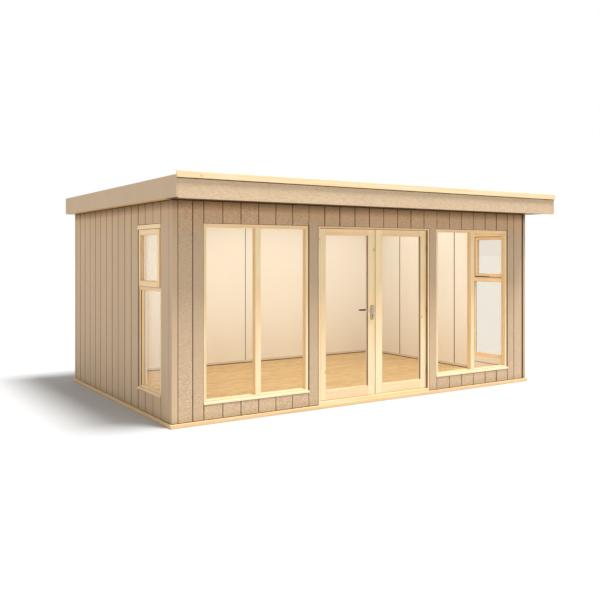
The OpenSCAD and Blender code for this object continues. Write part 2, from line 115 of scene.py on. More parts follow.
class RoomSizes(bpy.types.PropertyGroup):
    """Sizes of the boards, bars and trims"""

    corner_trim: length("Corner trim", "Width of the boards at the corners", 0.066)
    corner_gap: length("Corner gap", "Gap beside the trim of the right front corner", 0.026)
    trim_gap: length("Trim gap", "Gap beside the trims of the other corners", 0.002)
    post_inset: length("Post inset", "How far the corner posts lie behind their trims", 0.012)
    front_end: length("End board", "Distance of the second joint of the front from a corner", 0.226)
    front_window: length("First front joint", "Distance of the windows from a corner", 0.350)
    front_boards: bpy.props.IntProperty(
        name="Front boards", description="Boards between the outer edges of the windows", default=21
    )
    side_board: length("Side board", "Spacing of the joints on the side walls", 0.2135)
    groove: length("Groove", "Width of the joint between two boards", 0.0115)
    side_groove: length("Side groove", "Width of the widest joint on the side walls", 0.020)
    groove_depth: length("Groove depth", "Depth of the joint between two boards", 0.011)
    board: length("Board", "Thickness of the cladding boards", 0.020)
    board_edge: length("Board edge", "Rounding of the cladding boards", 0.0025)
    foot_gap: length("Foot gap", "Shadow gap under and over the cladding boards", 0.006)
    frame_gap: length("Frame gap", "Gap between the cladding boards and a frame", 0.008)
    core_gap: length("Core gap", "Gap between the body of a wall and a frame", 0.001)
    rough_foot: length("Rough foot", "Height of the rougher grain at the foot of the cladding", 0.85)
    rough_head: length("Rough head", "Height of the rougher grain at the head of the cladding", 0.50)
    # Heights of the painted shade on the cladding: a tinted band under the eave, a dark band close under it,
    # and a darker foot
    painted_eave_band: length("Shelter", "Height of the cladding that the eave shelters", 0.36)
    painted_eave_shade: length("Eave shade", "Height of the dark cladding close under the eave", 0.11)
    painted_foot_shade: length("Foot stain", "Height of the darker foot of the cladding", 0.08)
    plank: length("Plank", "Width of a floor plank", 0.12)
    plank_edge: length("Plank edge", "Rounding of the floor planks", 0.0009)
    plinth: length("Plinth", "Thickness of the plinth boards", 0.032)
    skirting: length("Skirting", "Thickness of the skirting", 0.012)
    skirting_gap: length("Skirting gap", "Shadow gap under the skirting", 0.009)
    skirting_recess: length("Skirting recess", "How far that gap lies behind the skirting", 0.003)
    panel: length("Lining panel", "Spacing of the joints in the lining", 1.240)
    panel_strip: length("Lining strip", "Width of the strip over a joint in a side lining", 0.015)
    back_strip: length("Back strip", "Width of the strip over a joint in the back lining", 0.009)
    strip_proud: length("Strip proud", "How far these strips stand out", 0.0006)
    apron: length("Apron", "Height of the board under a side window, inside", 0.080)
    apron_board: length("Apron board", "Thickness of that board", 0.006)
    apron_edge: length("Apron edge", "Rounding of that board", 0.001)
    apron_gap: length("Apron gap", "Shadow gap under that board", 0.006)
    frame_set: length("Frame set-back", "How far the frames lie behind the cladding", 0.015)
    frame_depth: length("Frame depth", "Depth of the bars of a frame", 0.063)
    facing: length("Facing", "Thickness of the boards that face a reveal", 0.0012)
    facing_depth: length("Facing depth", "Depth of the oiled facing of a side window", 0.040)
    # The dark strip is painted shade
    edge_facing: length("Edge facing", "Depth of the dark strip at the edge of a side window", 0.012)
    # The dark facings of the doors and their jambs are painted shade
    leaf_facing: length("Leaf facing", "Depth of the stained facing of a door", 0.019)
    jamb_facing: length("Jamb facing", "How far the stained jambs reach behind the face of a door", 0.008)
    return_board: length("Return board", "Thickness of the boards behind a frame", 0.004)
    frame_side: length("Frame side", "Width of the bars of a front frame", 0.033)
    frame_foot: length("Frame foot", "Height of the bottom bar of a frame", 0.018)
    mullion: length("Mullion", "Width of the bar between two panes", 0.065)
    side_face: length("Side frame", "Width of the bars of a side frame", 0.046)
    transom: length("Transom", "Height of the bar under an opening light", 0.038)
    light_stile: length("Light stile", "Width of the stiles of an opening light", 0.050)
    light_top: length("Light top", "Height of the top rail of an opening light", 0.058)
    light_foot: length("Light foot", "Height of the bottom rail of an opening light", 0.064)
    light_gap: length("Light gap", "Gap round an opening light", 0.005)
    door_side: length("Door frame", "Width of the bars of the door frame", 0.020)
    threshold: length("Threshold", "Height of the threshold", 0.035)
    stop: length("Door stop", "How far the door stop stands in", 0.015)
    stop_gap: length("Stop gap", "Gap between a door and its stop", 0.005)
    stop_edge: length("Stop edge", "Rounding of the door stops", 0.0015)
    hinge_gap: length("Hinge gap", "How far doors and frame are cut back at the hinges", 0.0004)
    hinge_stile: length("Hinge stile", "Width of the stile at the hinges", 0.091)
    meeting_stile: length("Meeting stile", "Width of the stile at the lock", 0.102)
    stile_edge: length("Stile edge", "Rounding of the stiles of a door", 0.0025)
    leaf_top: length("Door top", "Height of the top rail of a door", 0.070)
    leaf_foot: length("Door foot", "Height of the bottom rail of a door", 0.108)
    meeting_seal: length("Meeting seal", "Width of the seal between the doors", 0.0035)
    meeting_bite: length("Meeting bite", "How far that seal reaches into its stile", 0.001)
    meeting_reach: length("Meeting reach", "How far that seal reaches past the middle of a door", 0.008)
    sill_ear: length("Sill ear", "How far a sill reaches past its opening", 0.003)
    sill_nose: length("Sill nose", "Rounding of the nose of a sill", 0.006)
    seal: length("Seal", "Width of the seal seen round an opening light, inside", 0.007)
    seal_depth: length("Seal depth", "Thickness of that seal", 0.003)
    seal_set: length("Seal set-back", "How far the seal in the gap round an opening light lies back", 0.004)
    pane: length("Pane", "Thickness of a pane", 0.014)
    bite: length("Glass bite", "How far the glass reaches into its groove", 0.008)
    bead: length("Bead", "Width of the bead seen round a pane", 0.006)
    bead_depth: length("Bead depth", "How far a bead stands out from the glass", 0.005)
    bead_edge: length("Bead edge", "Rounding of a bead", 0.0012)
    fascia_drop: length("Fascia drop", "How far the front fascia hangs below the soffit", 0.012)
    trim_shadow: length("Trim shadow", "Height of the shadow gap under the roof trim", 0.007)
    trim_recess: length("Trim recess", "Depth of that gap", 0.004)
    eave_boards: bpy.props.IntProperty(
        name="Eave boards", description="Boards under the front eave", default=3
    )
    sheet: length("Roof sheet", "Thickness of the roof covering", 0.004)
    sheet_strip: length("Roof strip", "Width of one strip of the roof covering", 1.0664)
    lap: length("Lap", "Thickness of a lap between two strips", 0.003)
    lap_set: length("Lap set-back", "How far a lap starts behind the front edge", 0.003)
    lap_edge: length("Lap edge", "Rounding of a lap", 0.0015)
    lap_left: length("Lap left", "Part of a lap on the strip to its left", 0.020)
    lap_right: length("Lap right", "Part of a lap on the strip to its right", 0.050)
    kerb: length("Kerb", "Thickness of the upstands along the sides of the roof", 0.005)
    kerb_rise: length("Kerb rise", "Height of the upstands along the sides", 0.024)
    kerb_end: length("Kerb end", "How far the upstands stop short of the back", 0.030)
    front_kerb: length("Front kerb", "Thickness of the upstand along the front", 0.006)
    front_kerb_rise: length("Front kerb rise", "Height of the upstand along the front", 0.022)
    kerb_edge: length("Kerb edge", "Rounding of the upstands", 0.001)
    sheet_bed: length("Sheet bed", "How far laps and upstands reach into the roof sheet", 0.001)


class RoomFittings(bpy.types.PropertyGroup):
    """Sizes of the lock and the levers"""

    # The brown plate behind each lock plate, which shows round it as a rim, is painted shadow
    rim: length("Lock rim", "How far the backing shows round a lock plate", 0.006)
    painted_shadow_plate: length("Backing", "Thickness of that backing", 0.002)
    painted_shadow_plate_edge: length("Backing edge", "Rounding of that backing", 0.0005)
    plate_edge: length("Plate edge", "Rounding of the lock plates", 0.0025)
    key_drop: length("Key drop", "How far the key cylinder lies below the lever", 0.062)
    key_out: length("Key out", "How far the key cylinder stands out", 0.003)
    key: length("Key cylinder", "Radius of the key cylinder", 0.0125)
    slot_width: length("Slot width", "Half the width of the key slot", 0.0072)
    slot_height: length("Slot height", "Half the height of the key slot", 0.010)
    barrel: length("Barrel", "Radius of the cylinder inside the door", 0.0075)
    rose: length("Rose", "Radius of the rose at the lever", 0.0145)
    rose_out: length("Rose out", "How far the rose stands out", 0.002)
    turned_edge: length("Turned edge", "Rounding of the rose and the key cylinder", 0.0008)
    screw: length("Screw", "Radius of a screw head", 0.0042)
    screw_out: length("Screw out", "How far a screw head stands out", 0.0012)
    screw_spread: length("Screw spread", "Distance of a screw from the middle of its plate", 0.068)
    fine_edge: length("Fine edge", "Rounding of the screws and necks", 0.0006)
    neck: length("Neck", "Radius of a lever's neck at the door", 0.009)
    neck_tip: length("Neck tip", "Radius of a lever's neck at its arm", 0.0078)
    arm_inset: length("Arm inset", "Distance of an arm's middle from its outer face", 0.008)
    arm_past: length("Arm past", "How far an arm reaches past its neck", 0.012)
    arm_depth: length("Arm depth", "Thickness of an arm", 0.0145)
    outer_arm: length("Outer arm", "Height of the outer arm", 0.0165)
    inner_arm: length("Inner arm", "Height of the inner arm", 0.0215)
    arm_edge: length("Arm edge", "Rounding of an arm", 0.0052)
    arm_tip: number("Arm tip", "Size of an arm's tip, as a share of its root", 0.8)
    spindle: length("Spindle", "Radius of the spindle through the door", 0.004)


class RoomColours(bpy.types.PropertyGroup):
    """Colours of the timber, paint, glass and metal"""

    cladding: colour("Cladding", "Stained cladding boards", 212, 184, 150)
    cladding_dark: colour("Cladding grain", "Hollows of the cladding grain", 187, 158, 125)
    groove: colour("Groove", "Bottom of the joints between boards", 66, 46, 31)
    fascia: colour("Fascia", "Roof boards", 206, 180, 147)
    fascia_dark: colour("Fascia grain", "Grain of the roof boards", 194, 167, 134)
    pine: colour("Pine", "Pale pine joinery", 252, 224, 178)
    stile: colour("Stile", "Pale pine of the stiles and posts", 255, 233, 186)
    # A darker copy of the pine for the right side window, which is seen from inside in shade: painted shade,
    # not an oil
    casement: colour("Casement", "Oiled pine of the right side window", 229, 203, 164)
    trim: colour("Trim", "Pine trim on the front edge of the roof", 240, 213, 172)
    plinth: colour("Plinth", "Treated pine of the plinth", 226, 194, 146)
    sill: colour("Sill", "Washed pine of the sills", 248, 230, 198)
    soffit: colour("Soffit", "Oiled boards under the side eaves", 226, 178, 108)
    # The front soffit boards are the same boards as the side ones; this dark colour is painted shade under
    # the deep front eave, not a stain
    eave: colour("Eave", "Stained boards under the front eave", 98, 62, 28)
    # A little darker than the pine, laid on reveal faces and the side sills: painted shade, not an oil
    reveal: colour("Reveal", "Oiled boards that face a reveal", 248, 219, 170)
    # Dark pine on the upright beads only, on the reveals and jambs of the doors, the reveals of the opening
    # lights and the rim round the lock plates: painted shade, not a stain. The level beads stay pale.
    bead: colour("Bead", "Stained beads at the glass", 168, 134, 88)
    knot: colour("Knot", "Knots in the pine", 190, 138, 82)
    lining: colour("Lining", "Painted inner lining", 246, 243, 237)
    floor: colour("Floor", "Pale oak floor", 236, 204, 147)
    floor_dark: colour("Floor grain", "Grain of the oak floor", 222, 183, 122)
    skirting: colour("Skirting", "Painted skirting", 226, 214, 198)
    panel: colour("Panel", "Strand board under the floor and roof", 205, 182, 140)
    sheet: colour("Roof sheet", "Rubber roof covering", 62, 64, 68)
    # On the dark strips at the outer edge of the side windows' reveals this colour is painted shade
    seal: colour("Seal", "Rubber round the opening lights and between the doors", 66, 50, 35)
    satin: colour("Satin metal", "Lock and outer lever", 190, 176, 156)
    bronze: colour("Bronze", "Hinges", 150, 124, 84)
    # Real dark metal on the stays, key slot and spindles; on the inner lever this dark colour is painted
    # shade
    dark_metal: colour("Dark metal", "Stays and inner lever", 24, 21, 19)
    grain: kept_shares("Grain", "Stain of the rings in the pine", 0.960, 0.850, 0.725)
    # Tints of painted light and shade on the joinery by height, not a stain: paler near the ground, warm
    # shade half way up, a little warm under the eave
    painted_low_light: kept_shares("Washed", "Stain of the joinery near the ground", 1.0, 1.025, 1.10)
    painted_mid_shade: kept_shares("Sheltered", "Stain of the joinery half way up", 1.0, 0.935, 0.90)
    painted_high_shade: kept_shares("Shaded", "Stain of the joinery under the eave", 1.0, 0.985, 0.97)
    # Painted shade on the cladding, not a stain: a warm tint under the eave on front and sides, and a dark
    # band close under it
    painted_front_eave: kept_shares("Front shelter", "Stain of the front cladding under the eave", 1.24, 1.07, 0.88)
    painted_side_eave: kept_shares("Side shelter", "Stain of the side cladding under the eave", 1.0, 0.94, 0.82)
    painted_eave_shade: kept_shares("Eave shade", "Stain of the cladding close under the eave", 0.26, 0.22, 0.12)
    # Painted warm light bounced from the oak floor, not a stain
    painted_floor_bounce: kept_shares("Lining foot", "Stain of the lining near the floor", 1.0, 0.96, 0.90)
    glass: kept_shares("Glass", "What a pane leaves of the light", 0.950, 0.932, 0.900)


class RoomStage(bpy.types.PropertyGroup):
    """Camera and lamps"""

    eye: bpy.props.FloatVectorProperty(
        name="Eye", description="Where the camera stands", default=(-5.480, -8.487, 1.718), unit="LENGTH"
    )
    turn: number("Turn", "Heading of the camera", -0.573, "ROTATION")
    lens: number("Lens", "Focal length in mm", 44.69)
    rise: number("Rise", "Vertical shift of the lens", -0.0764)
    sky: number("Sky", "Strength of the soft light", 0.66)
    key: number("Key", "Strength of the lamp in front", 4.8)
    key_turn: number("Key turn", "Heading of the lamp in front", math.radians(38), "ROTATION")
    key_height: number("Key height", "Height of the lamp in front", math.radians(70), "ROTATION")
    key_spread: number("Key spread", "Softness of the lamp in front", math.radians(16), "ROTATION")
    inside: number("Inside", "Power of the lamp under the ceiling", 19.5)
    wall: number("Wall", "Power of the lamp at the front wall", 32.5)
    lamp_right: length("Lamps right", "How far these two lamps stand right of the middle", 0.2)
    lamp_back: length("Lamp back", "How far the lamp under the ceiling stands behind the middle", 0.25)
    lamp_lift: length("Lamp lift", "How far the lamp at the front wall stands over the middle", 0.08)
    lamp_gap: length("Lamp gap", "Distance of these two lamps from ceiling and wall", 0.02)
    lamp_wide: number("Lamp width", "Width of the lamp under the ceiling, as a share of the floor", 0.9)
    wall_wide: number("Wall width", "Width of the lamp at the front wall, as a share of the floor", 0.96)
    lamp_deep: number("Lamp depth", "Depth of both lamps, as a share of the floor", 0.6)
    ground: colour("Ground", "Pale studio floor", 189, 189, 189)
    ground_reach: length("Ground reach", "How far the studio floor reaches each way", 500.0)
    ground_gap: length("Ground gap", "Gap between the studio floor and the room", 0.001)


class Finish:
    """One material in the making."""

    def __init__(self, name, roughness=0.6):
        self.material = bpy.data.materials.new(name)
        self.material.use_nodes = True
        self.tree = self.material.node_tree
        self.shader = self.tree.nodes["Principled BSDF"]
        self.shader.inputs["Roughness"].default_value = roughness

    def add(self, kind, inputs, **settings):
        made = self.tree.nodes.new(kind)
        for name, value in settings.items():
            setattr(made, name, value)
        for name, value in inputs.items():
            self.put(made.inputs[name], value)
        return made

    def put(self, socket, value):
        if isinstance(value, bpy.types.NodeSocket):
            self.tree.links.new(value, socket)
        else:
            socket.default_value = value

    def shade(self):
        """The shade that each board was given, 0 to 1."""
        return self.add("ShaderNodeAttribute", {}, attribute_name="shade").outputs["Fac"]

    def place(self, stretch, drift=False):
        """Object coordinates, stretched, and set apart for each board where asked."""
        spot = self.add("ShaderNodeTexCoord", {}).outputs["Object"]
        if drift:
            step = {0: self.shade(), 1: BOARD_DRIFT}
            step = self.add("ShaderNodeVectorMath", step, operation="MULTIPLY").outputs[0]
            spot = self.add("ShaderNodeVectorMath", {0: spot, 1: step}, operation="ADD").outputs[0]
        return self.add("ShaderNodeMapping", {"Vector": spot, "Scale": stretch}).outputs[0]

    def level(self):
        """Height over the ground."""
        spot = self.add("ShaderNodeTexCoord", {}).outputs["Object"]
        return self.add("ShaderNodeSeparateXYZ", {"Vector": spot}).outputs["Z"]

    def noise(self, spot, scale, detail=2.0, roughness=0.5, distortion=0.0):
        inputs = {"Vector": spot, "Scale": scale, "Detail": detail}
        inputs.update({"Roughness": roughness, "Distortion": distortion})
        return self.add("ShaderNodeTexNoise", inputs).outputs["Fac"]

    def spread(self, value, low, high, to_low=0.0, to_high=1.0):
        inputs = {"Value": value, "From Min": low, "From Max": high, "To Min": to_low, "To Max": to_high}
        return self.add("ShaderNodeMapRange", inputs, clamp=True).outputs["Result"]

    def between(self, noise, to_low, to_high):
        """A noise, most of which lies between 0.3 and 0.7, spread over a range."""
        return self.spread(noise, 0.3, 0.7, to_low, to_high)

    def maths(self, operation, *values):
        return self.add("ShaderNodeMath", dict(enumerate(values)), operation=operation).outputs[0]

    def mix(self, share, first, second, blend="MIX"):
        made = self.add("ShaderNodeMix", {}, data_type="RGBA", blend_type=blend)
        for socket, value in zip((made.inputs[0], made.inputs[6], made.inputs[7]), (share, first, second)):
            self.put(socket, value)
        return made.outputs[2]

    def tinted(self, share, base, coat):
        """A colour with a share of another colour multiplied over it."""
        return self.mix(share, base, coat, "MULTIPLY")

    def tint(self, base, value):
        """A colour made lighter or darker by a number."""
        grey = self.add("ShaderNodeCombineColor", {0: value, 1: value, 2: value}).outputs[0]
        return self.tinted(1.0, base, grey)

    def vary(self, base, noise, low, high):
        """A colour made lighter and darker along a noise."""
        return self.tint(base, self.between(noise, low, high))

    def bump(self, height, strength, distance):
        inputs = {"Height": height, "Strength": strength, "Distance": distance}
        self.put(self.shader.inputs["Normal"], self.add("ShaderNodeBump", inputs).outputs[0])

    def paint(self, base, roughness=None):
        self.put(self.shader.inputs["Base Color"], base)
        if roughness is not None:
            self.put(self.shader.inputs["Roughness"], roughness)
        return self.material


FINISHES = {}
# How far the pattern of a board may start from that of another, in metres
BOARD_DRIFT = (17.0, 23.0, 11.0)
EVEN = (1.0, 1.0, 1.0)
PINE_KINDS = ("pine", "stile", "casement", "trim", "plinth", "sill", "soffit", "eave", "reveal", "bead")
# Kinds of pine that get painted light and shade by height
HEIGHT_PAINTED_KINDS = ("pine", "stile")
# Heights over which the painted shade at the foot fades out, the painted pale light low down turns to the
# painted warm shade half way up, and that turns to the lighter painted shade under the eave
PAINTED_FOOT_SPAN, PAINTED_LOW_SPAN, PAINTED_HIGH_SPAN = (0.1, 1.5), (0.5, 1.1), (1.15, 1.6)
# Heights between which the lining loses its painted warm light, bounced from the floor
PAINTED_BOUNCE_SPAN = (0.1, 1.0)
# Dashes to a metre each way, and relief on faces along x and along y, of the sawn boards. Relief sets the
# bump and the contrast of the dashes; the stronger dash contrast on faces along x is painted light on relief
# that the front lamp lights.
SAWN = {
    "cladding": ((64.0, 64.0, 126.0), {"x": 1.7, "y": 0.22}),
    "fascia": ((26.0, 26.0, 72.0), {"x": 1.2, "y": 0.3}),
}
PAINTED = ("lining", "skirting")
# Colour, way of the brushing, roughness and share of bare metal
METALS = {
    "satin_metal": ("satin", "z", 0.32, 1.0),
    "hinge_metal": ("bronze", "z", 0.38, 1.0),
    "dark_metal": ("dark_metal", "x", 0.6, 0.0),
}


def along(axis, short, full=1.0):
    """A stretch that draws a pattern out along one axis."""
    return tuple(short if name == axis else full for name in "xyz")


def rgba(value):
    return (*value, 1.0)


def painted_light_by_height(made, base, colours):
    """Painted light and shade by height on the joinery: darker at the foot, paler low down where the lamp
    falls, warmer and darker half way up in the eave's shade, and a little warm under the eave.
    """
    level = made.level()
    base = made.tint(base, made.spread(level, *PAINTED_FOOT_SPAN, 0.86, 1.0))
    painted_tint = made.mix(made.spread(level, *PAINTED_LOW_SPAN), rgba(colours.painted_low_light), rgba(colours.painted_mid_shade))
    painted_tint = made.mix(made.spread(level, *PAINTED_HIGH_SPAN), painted_tint, rgba(colours.painted_high_shade))
    return made.tinted(1.0, base, painted_tint)


def pine_finish(name, colours, kind, axis):
    """Planed pine with soft rings, fine streaks and a few knots along one axis."""
    made = Finish(name, 0.5)
    light = getattr(colours, kind)
    dark = [part * share for part, share in zip(light, colours.grain)]
    rings = made.noise(made.place(along(axis, 0.05), True), 34.0, 3.0, 0.55, 0.8)
    streaks = made.noise(made.place(along(axis, 0.02), True), 260.0, 2.0)
    base = made.mix(made.spread(rings, 0.36, 0.70), rgba(light), rgba(dark))
    base = made.tint(base, made.spread(streaks, 0.25, 0.75, 0.94, 1.04))
    base = made.tint(base, made.spread(made.shade(), 0.0, 1.0, 0.94, 1.04))
    spot = made.place(along(axis, 3.1, 5.2), True)
    cells = made.add("ShaderNodeTexVoronoi", {"Vector": spot, "Scale": 1.0})
    chance = made.spread(cells.outputs["Color"], 0.50, 0.62)
    knots = made.maths("MULTIPLY", made.spread(cells.outputs["Distance"], 0.075, 0.03), chance)
    base = made.mix(made.maths("MULTIPLY", knots, 0.75), base, rgba(colours.knot))
    # Painted light and shade by height
    if kind in HEIGHT_PAINTED_KINDS:
        base = painted_light_by_height(made, base, colours)
    made.bump(made.maths("ADD", rings, streaks), 0.12, 0.0012)
    return made.paint(base, made.spread(streaks, 0.2, 0.8, 0.44, 0.58))


def board_finish(name, colours, kind, axis):
    """Stained boards sawn rough, with short dashes across the face. Cladding has rougher grain at foot and
    head, and painted shade under the eave and at its foot.
    """
    made = Finish(name, 0.7)
    light, dark = getattr(colours, kind), getattr(colours, kind + "_dark")
    dash, reliefs = SAWN[kind]
    relief = reliefs[axis]
    dashes = made.noise(made.place(dash, True), 1.0, 3.0, 0.6, 0.3)
    teeth = made.noise(made.place(tuple(4.3 * size for size in dash), True), 1.0, 2.0)
    clouds = made.noise(made.place((1.0, 1.0, 0.5)), 1.9, 2.0)
    height = made.maths("ADD", dashes, made.maths("MULTIPLY", teeth, 0.35))
    half = 0.15 / relief
    grain = made.spread(height, 0.67 - half, 0.67 + half)
    if kind == "cladding":
        sizes = bpy.context.scene.room_sizes
        foot, head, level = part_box("plinth")[1].z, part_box("soffits")[0].z, made.level()
        rough_foot = made.spread(level, foot, foot + sizes.rough_foot, 1.0, 0.0)
        rough = made.maths("MAXIMUM", rough_foot, made.spread(level, head - sizes.rough_head, head))
        strength = made.spread(rough, 0.0, 1.0, 0.5, 1.7)
        grain = made.maths("MULTIPLY_ADD", made.maths("SUBTRACT", grain, 0.5), strength, 0.5)
    base = made.mix(grain, rgba(dark), rgba(light))
    base = made.vary(base, clouds, 0.98, 1.02)
    base = made.tint(base, made.spread(made.shade(), 0.0, 1.0, 0.97, 1.03))
    # Painted shade: a warm tint under the eave, a dark band close under it, and a darker foot at the plinth
    if kind == "cladding":
        painted_eave_band = colours.painted_front_eave if axis == "x" else colours.painted_side_eave
        for reach, shade in ((sizes.painted_eave_band, painted_eave_band), (sizes.painted_eave_shade, colours.painted_eave_shade)):
            base = made.tinted(made.spread(level, head - reach, head), base, rgba(shade))
        base = made.tint(base, made.spread(level, foot, foot + sizes.painted_foot_shade, 0.78, 1.0))
    made.bump(height, 0.5 * relief, 0.004)
    return made.paint(base, made.between(dashes, 0.78, 0.62))


def groove_finish(colours):
    """The stained tongue at the bottom of a joint."""
    made = Finish("groove", 0.8)
    streaks = made.noise(made.place((60.0, 60.0, 4.0)), 1.0, 3.0)
    made.bump(streaks, 0.2, 0.002)
    return made.paint(made.vary(rgba(colours.groove), streaks, 0.8, 1.15))


def painted_finish(name, colours):
    """Smooth satin paint with a faint roller stipple, warmer near the floor with painted light bounced from
    it.
    """
    made = Finish(name, 0.55)
    stipple = made.noise(made.place(EVEN), 320.0, 2.0)
    clouds = made.noise(made.place((1.0, 1.0, 0.6)), 1.3, 2.0)
    base = made.vary(rgba(getattr(colours, name)), clouds, 0.98, 1.015)
    base = made.vary(base, stipple, 0.985, 1.01)
    # Painted warm bounce light near the floor
    base = made.tinted(made.spread(made.level(), *PAINTED_BOUNCE_SPAN, 1.0, 0.0), base, rgba(colours.painted_floor_bounce))
    made.bump(stipple, 0.08, 0.0008)
    return made.paint(base, made.between(stipple, 0.6, 0.5))


def floor_finish(colours):
    """Oiled pale oak planks along x."""
    made = Finish("oak_floor", 0.45)
    figure = made.noise(made.place((0.14, 1.0, 1.0), True), 17.0, 4.0, 0.62, 0.8)
    pores = made.noise(made.place((0.13, 1.0, 1.0), True), 46.0, 3.0, 0.6)
    base = made.mix(made.spread(figure, 0.35, 0.72), rgba(colours.floor), rgba(colours.floor_dark))
    base = made.tint(base, made.spread(pores, 0.34, 0.60, 0.74, 1.06))
    base = made.tint(base, made.spread(made.shade(), 0.0, 1.0, 0.93, 1.05))
    made.bump(pores, 0.15, 0.001)
    return made.paint(base, made.between(figure, 0.42, 0.55))


def panel_finish(colours):
    """Strand board: flat chips pressed together."""
    made = Finish("strand_board", 0.7)
    chips = made.add("ShaderNodeTexVoronoi", {"Vector": made.place((1.0, 2.2, 1.0)), "Scale": 26.0})
    grain = made.noise(made.place((0.2, 1.0, 1.0)), 190.0, 3.0)
    base = made.tint(rgba(colours.panel), made.spread(chips.outputs["Color"], 0.2, 0.8, 0.78, 1.1))
    made.bump(chips.outputs["Distance"], 0.3, 0.002)
    return made.paint(made.vary(base, grain, 0.9, 1.06))


def sheet_finish(colours):
    """Rubber roof covering with a dusty bloom."""
    made = Finish("roof_sheet", 0.75)
    bloom = made.noise(made.place(EVEN), 3.1, 4.0, 0.6)
    made.bump(made.noise(made.place(EVEN), 420.0, 2.0), 0.2, 0.001)
    return made.paint(made.vary(rgba(colours.sheet), bloom, 0.82, 1.3), made.between(bloom, 0.85, 0.62))


def seal_finish(colours):
    """Dark rubber with a little dust."""
    made = Finish("seal", 0.6)
    dust = made.noise(made.place((1.0, 1.0, 0.3)), 90.0, 2.0)
    made.bump(dust, 0.1, 0.0006)
    return made.paint(made.vary(rgba(colours.seal), dust, 0.8, 1.3))


def metal_finish(name, paint, axis, roughness, metallic):
    """Brushed or blackened metal, with the brushing along one axis."""
    made = Finish(name, roughness)
    brush = made.noise(made.place(along(axis, 0.04)), 1500.0, 2.0)
    wear = made.noise(made.place(EVEN), 45.0, 3.0)
    made.shader.inputs["Metallic"].default_value = metallic
    made.bump(brush, 0.06, 0.0004)
    return made.paint(
        made.vary(rgba(paint), wear, 0.88, 1.06), made.between(brush, roughness - 0.06, roughness + 0.08)
    )


def glass_finish(colours):
    """Clear glass that mirrors a little and lets lamps through."""
    made = Finish("glass", 0.02)
    smear = made.noise(made.place((1.0, 1.0, 0.4)), 2.3, 2.0)
    mirror = made.add("ShaderNodeBsdfGlossy", {"Color": (0.9, 0.92, 0.92, 1.0)})
    made.put(mirror.inputs["Roughness"], made.between(smear, 0.01, 0.05))
    clear = made.add("ShaderNodeBsdfTransparent", {"Color": rgba(colours.glass)})
    slant = made.add("ShaderNodeLayerWeight", {"Blend": 0.5}).outputs["Facing"]
    share = made.spread(made.maths("POWER", slant, 4.0), 0.0, 1.0, 0.012, 0.6)
    both = made.add("ShaderNodeMixShader", {0: share, 1: clear.outputs[0], 2: mirror.outputs[0]})
    made.put(made.tree.nodes["Material Output"].inputs["Surface"], both.outputs[0])
    made.tree.nodes.remove(made.shader)
    return made.material


PLAIN = {
    "groove": groove_finish, "oak_floor": floor_finish, "panel": panel_finish,
    "roof_sheet": sheet_finish, "seal": seal_finish, "glass": glass_finish,
}


def new_finish(name):
    """Makes the material of that name. Timber is named for its kind and the axis of its grain."""
    colours = bpy.context.scene.room_colours
    kind, _, axis = name.rpartition("_")
    if kind in PINE_KINDS:
        return pine_finish(name, colours, kind, axis)
    if kind in SAWN:
        return board_finish(name, colours, kind, axis)
    if name in PAINTED:
        return painted_finish(name, colours)
    if name in METALS:
        paint, *rest = METALS[name]
        return metal_finish(name, getattr(colours, paint), *rest)
    return PLAIN[name](colours)


def finish(name):
    """The material of that name, made the first time it is asked for."""
    if name not in FINISHES:
        FINISHES[name] = new_finish(name)
    return FINISHES[name]


def cut_out(mesh, face, holes):
    """Cuts holes out of a flat face, and gives the faces that are left."""
    geom = [face, *face.edges, *face.verts]
    for (left, right), (foot, head) in holes:
        for point, way in (
            ((left, 0, 0), (1, 0, 0)), ((right, 0, 0), (1, 0, 0)),
            ((0, foot, 0), (0, 1, 0)), ((0, head, 0), (0, 1, 0)),
        ):
            cut = bmesh.ops.bisect_plane(mesh, geom=geom, dist=1e-6, plane_co=point, plane_no=way)
            geom = cut["geom"]
    left_over, gone = [], []
    for part in (g for g in geom if isinstance(g, bmesh.types.BMFace)):
        spot = part.calc_center_median()
        inside = any(a < spot.x < b and c < spot.y < d for (a, b), (c, d) in holes)
        (gone if inside else left_over).append(part)
    if gone:
        bmesh.ops.delete(mesh, geom=gone, context="FACES")
    return left_over


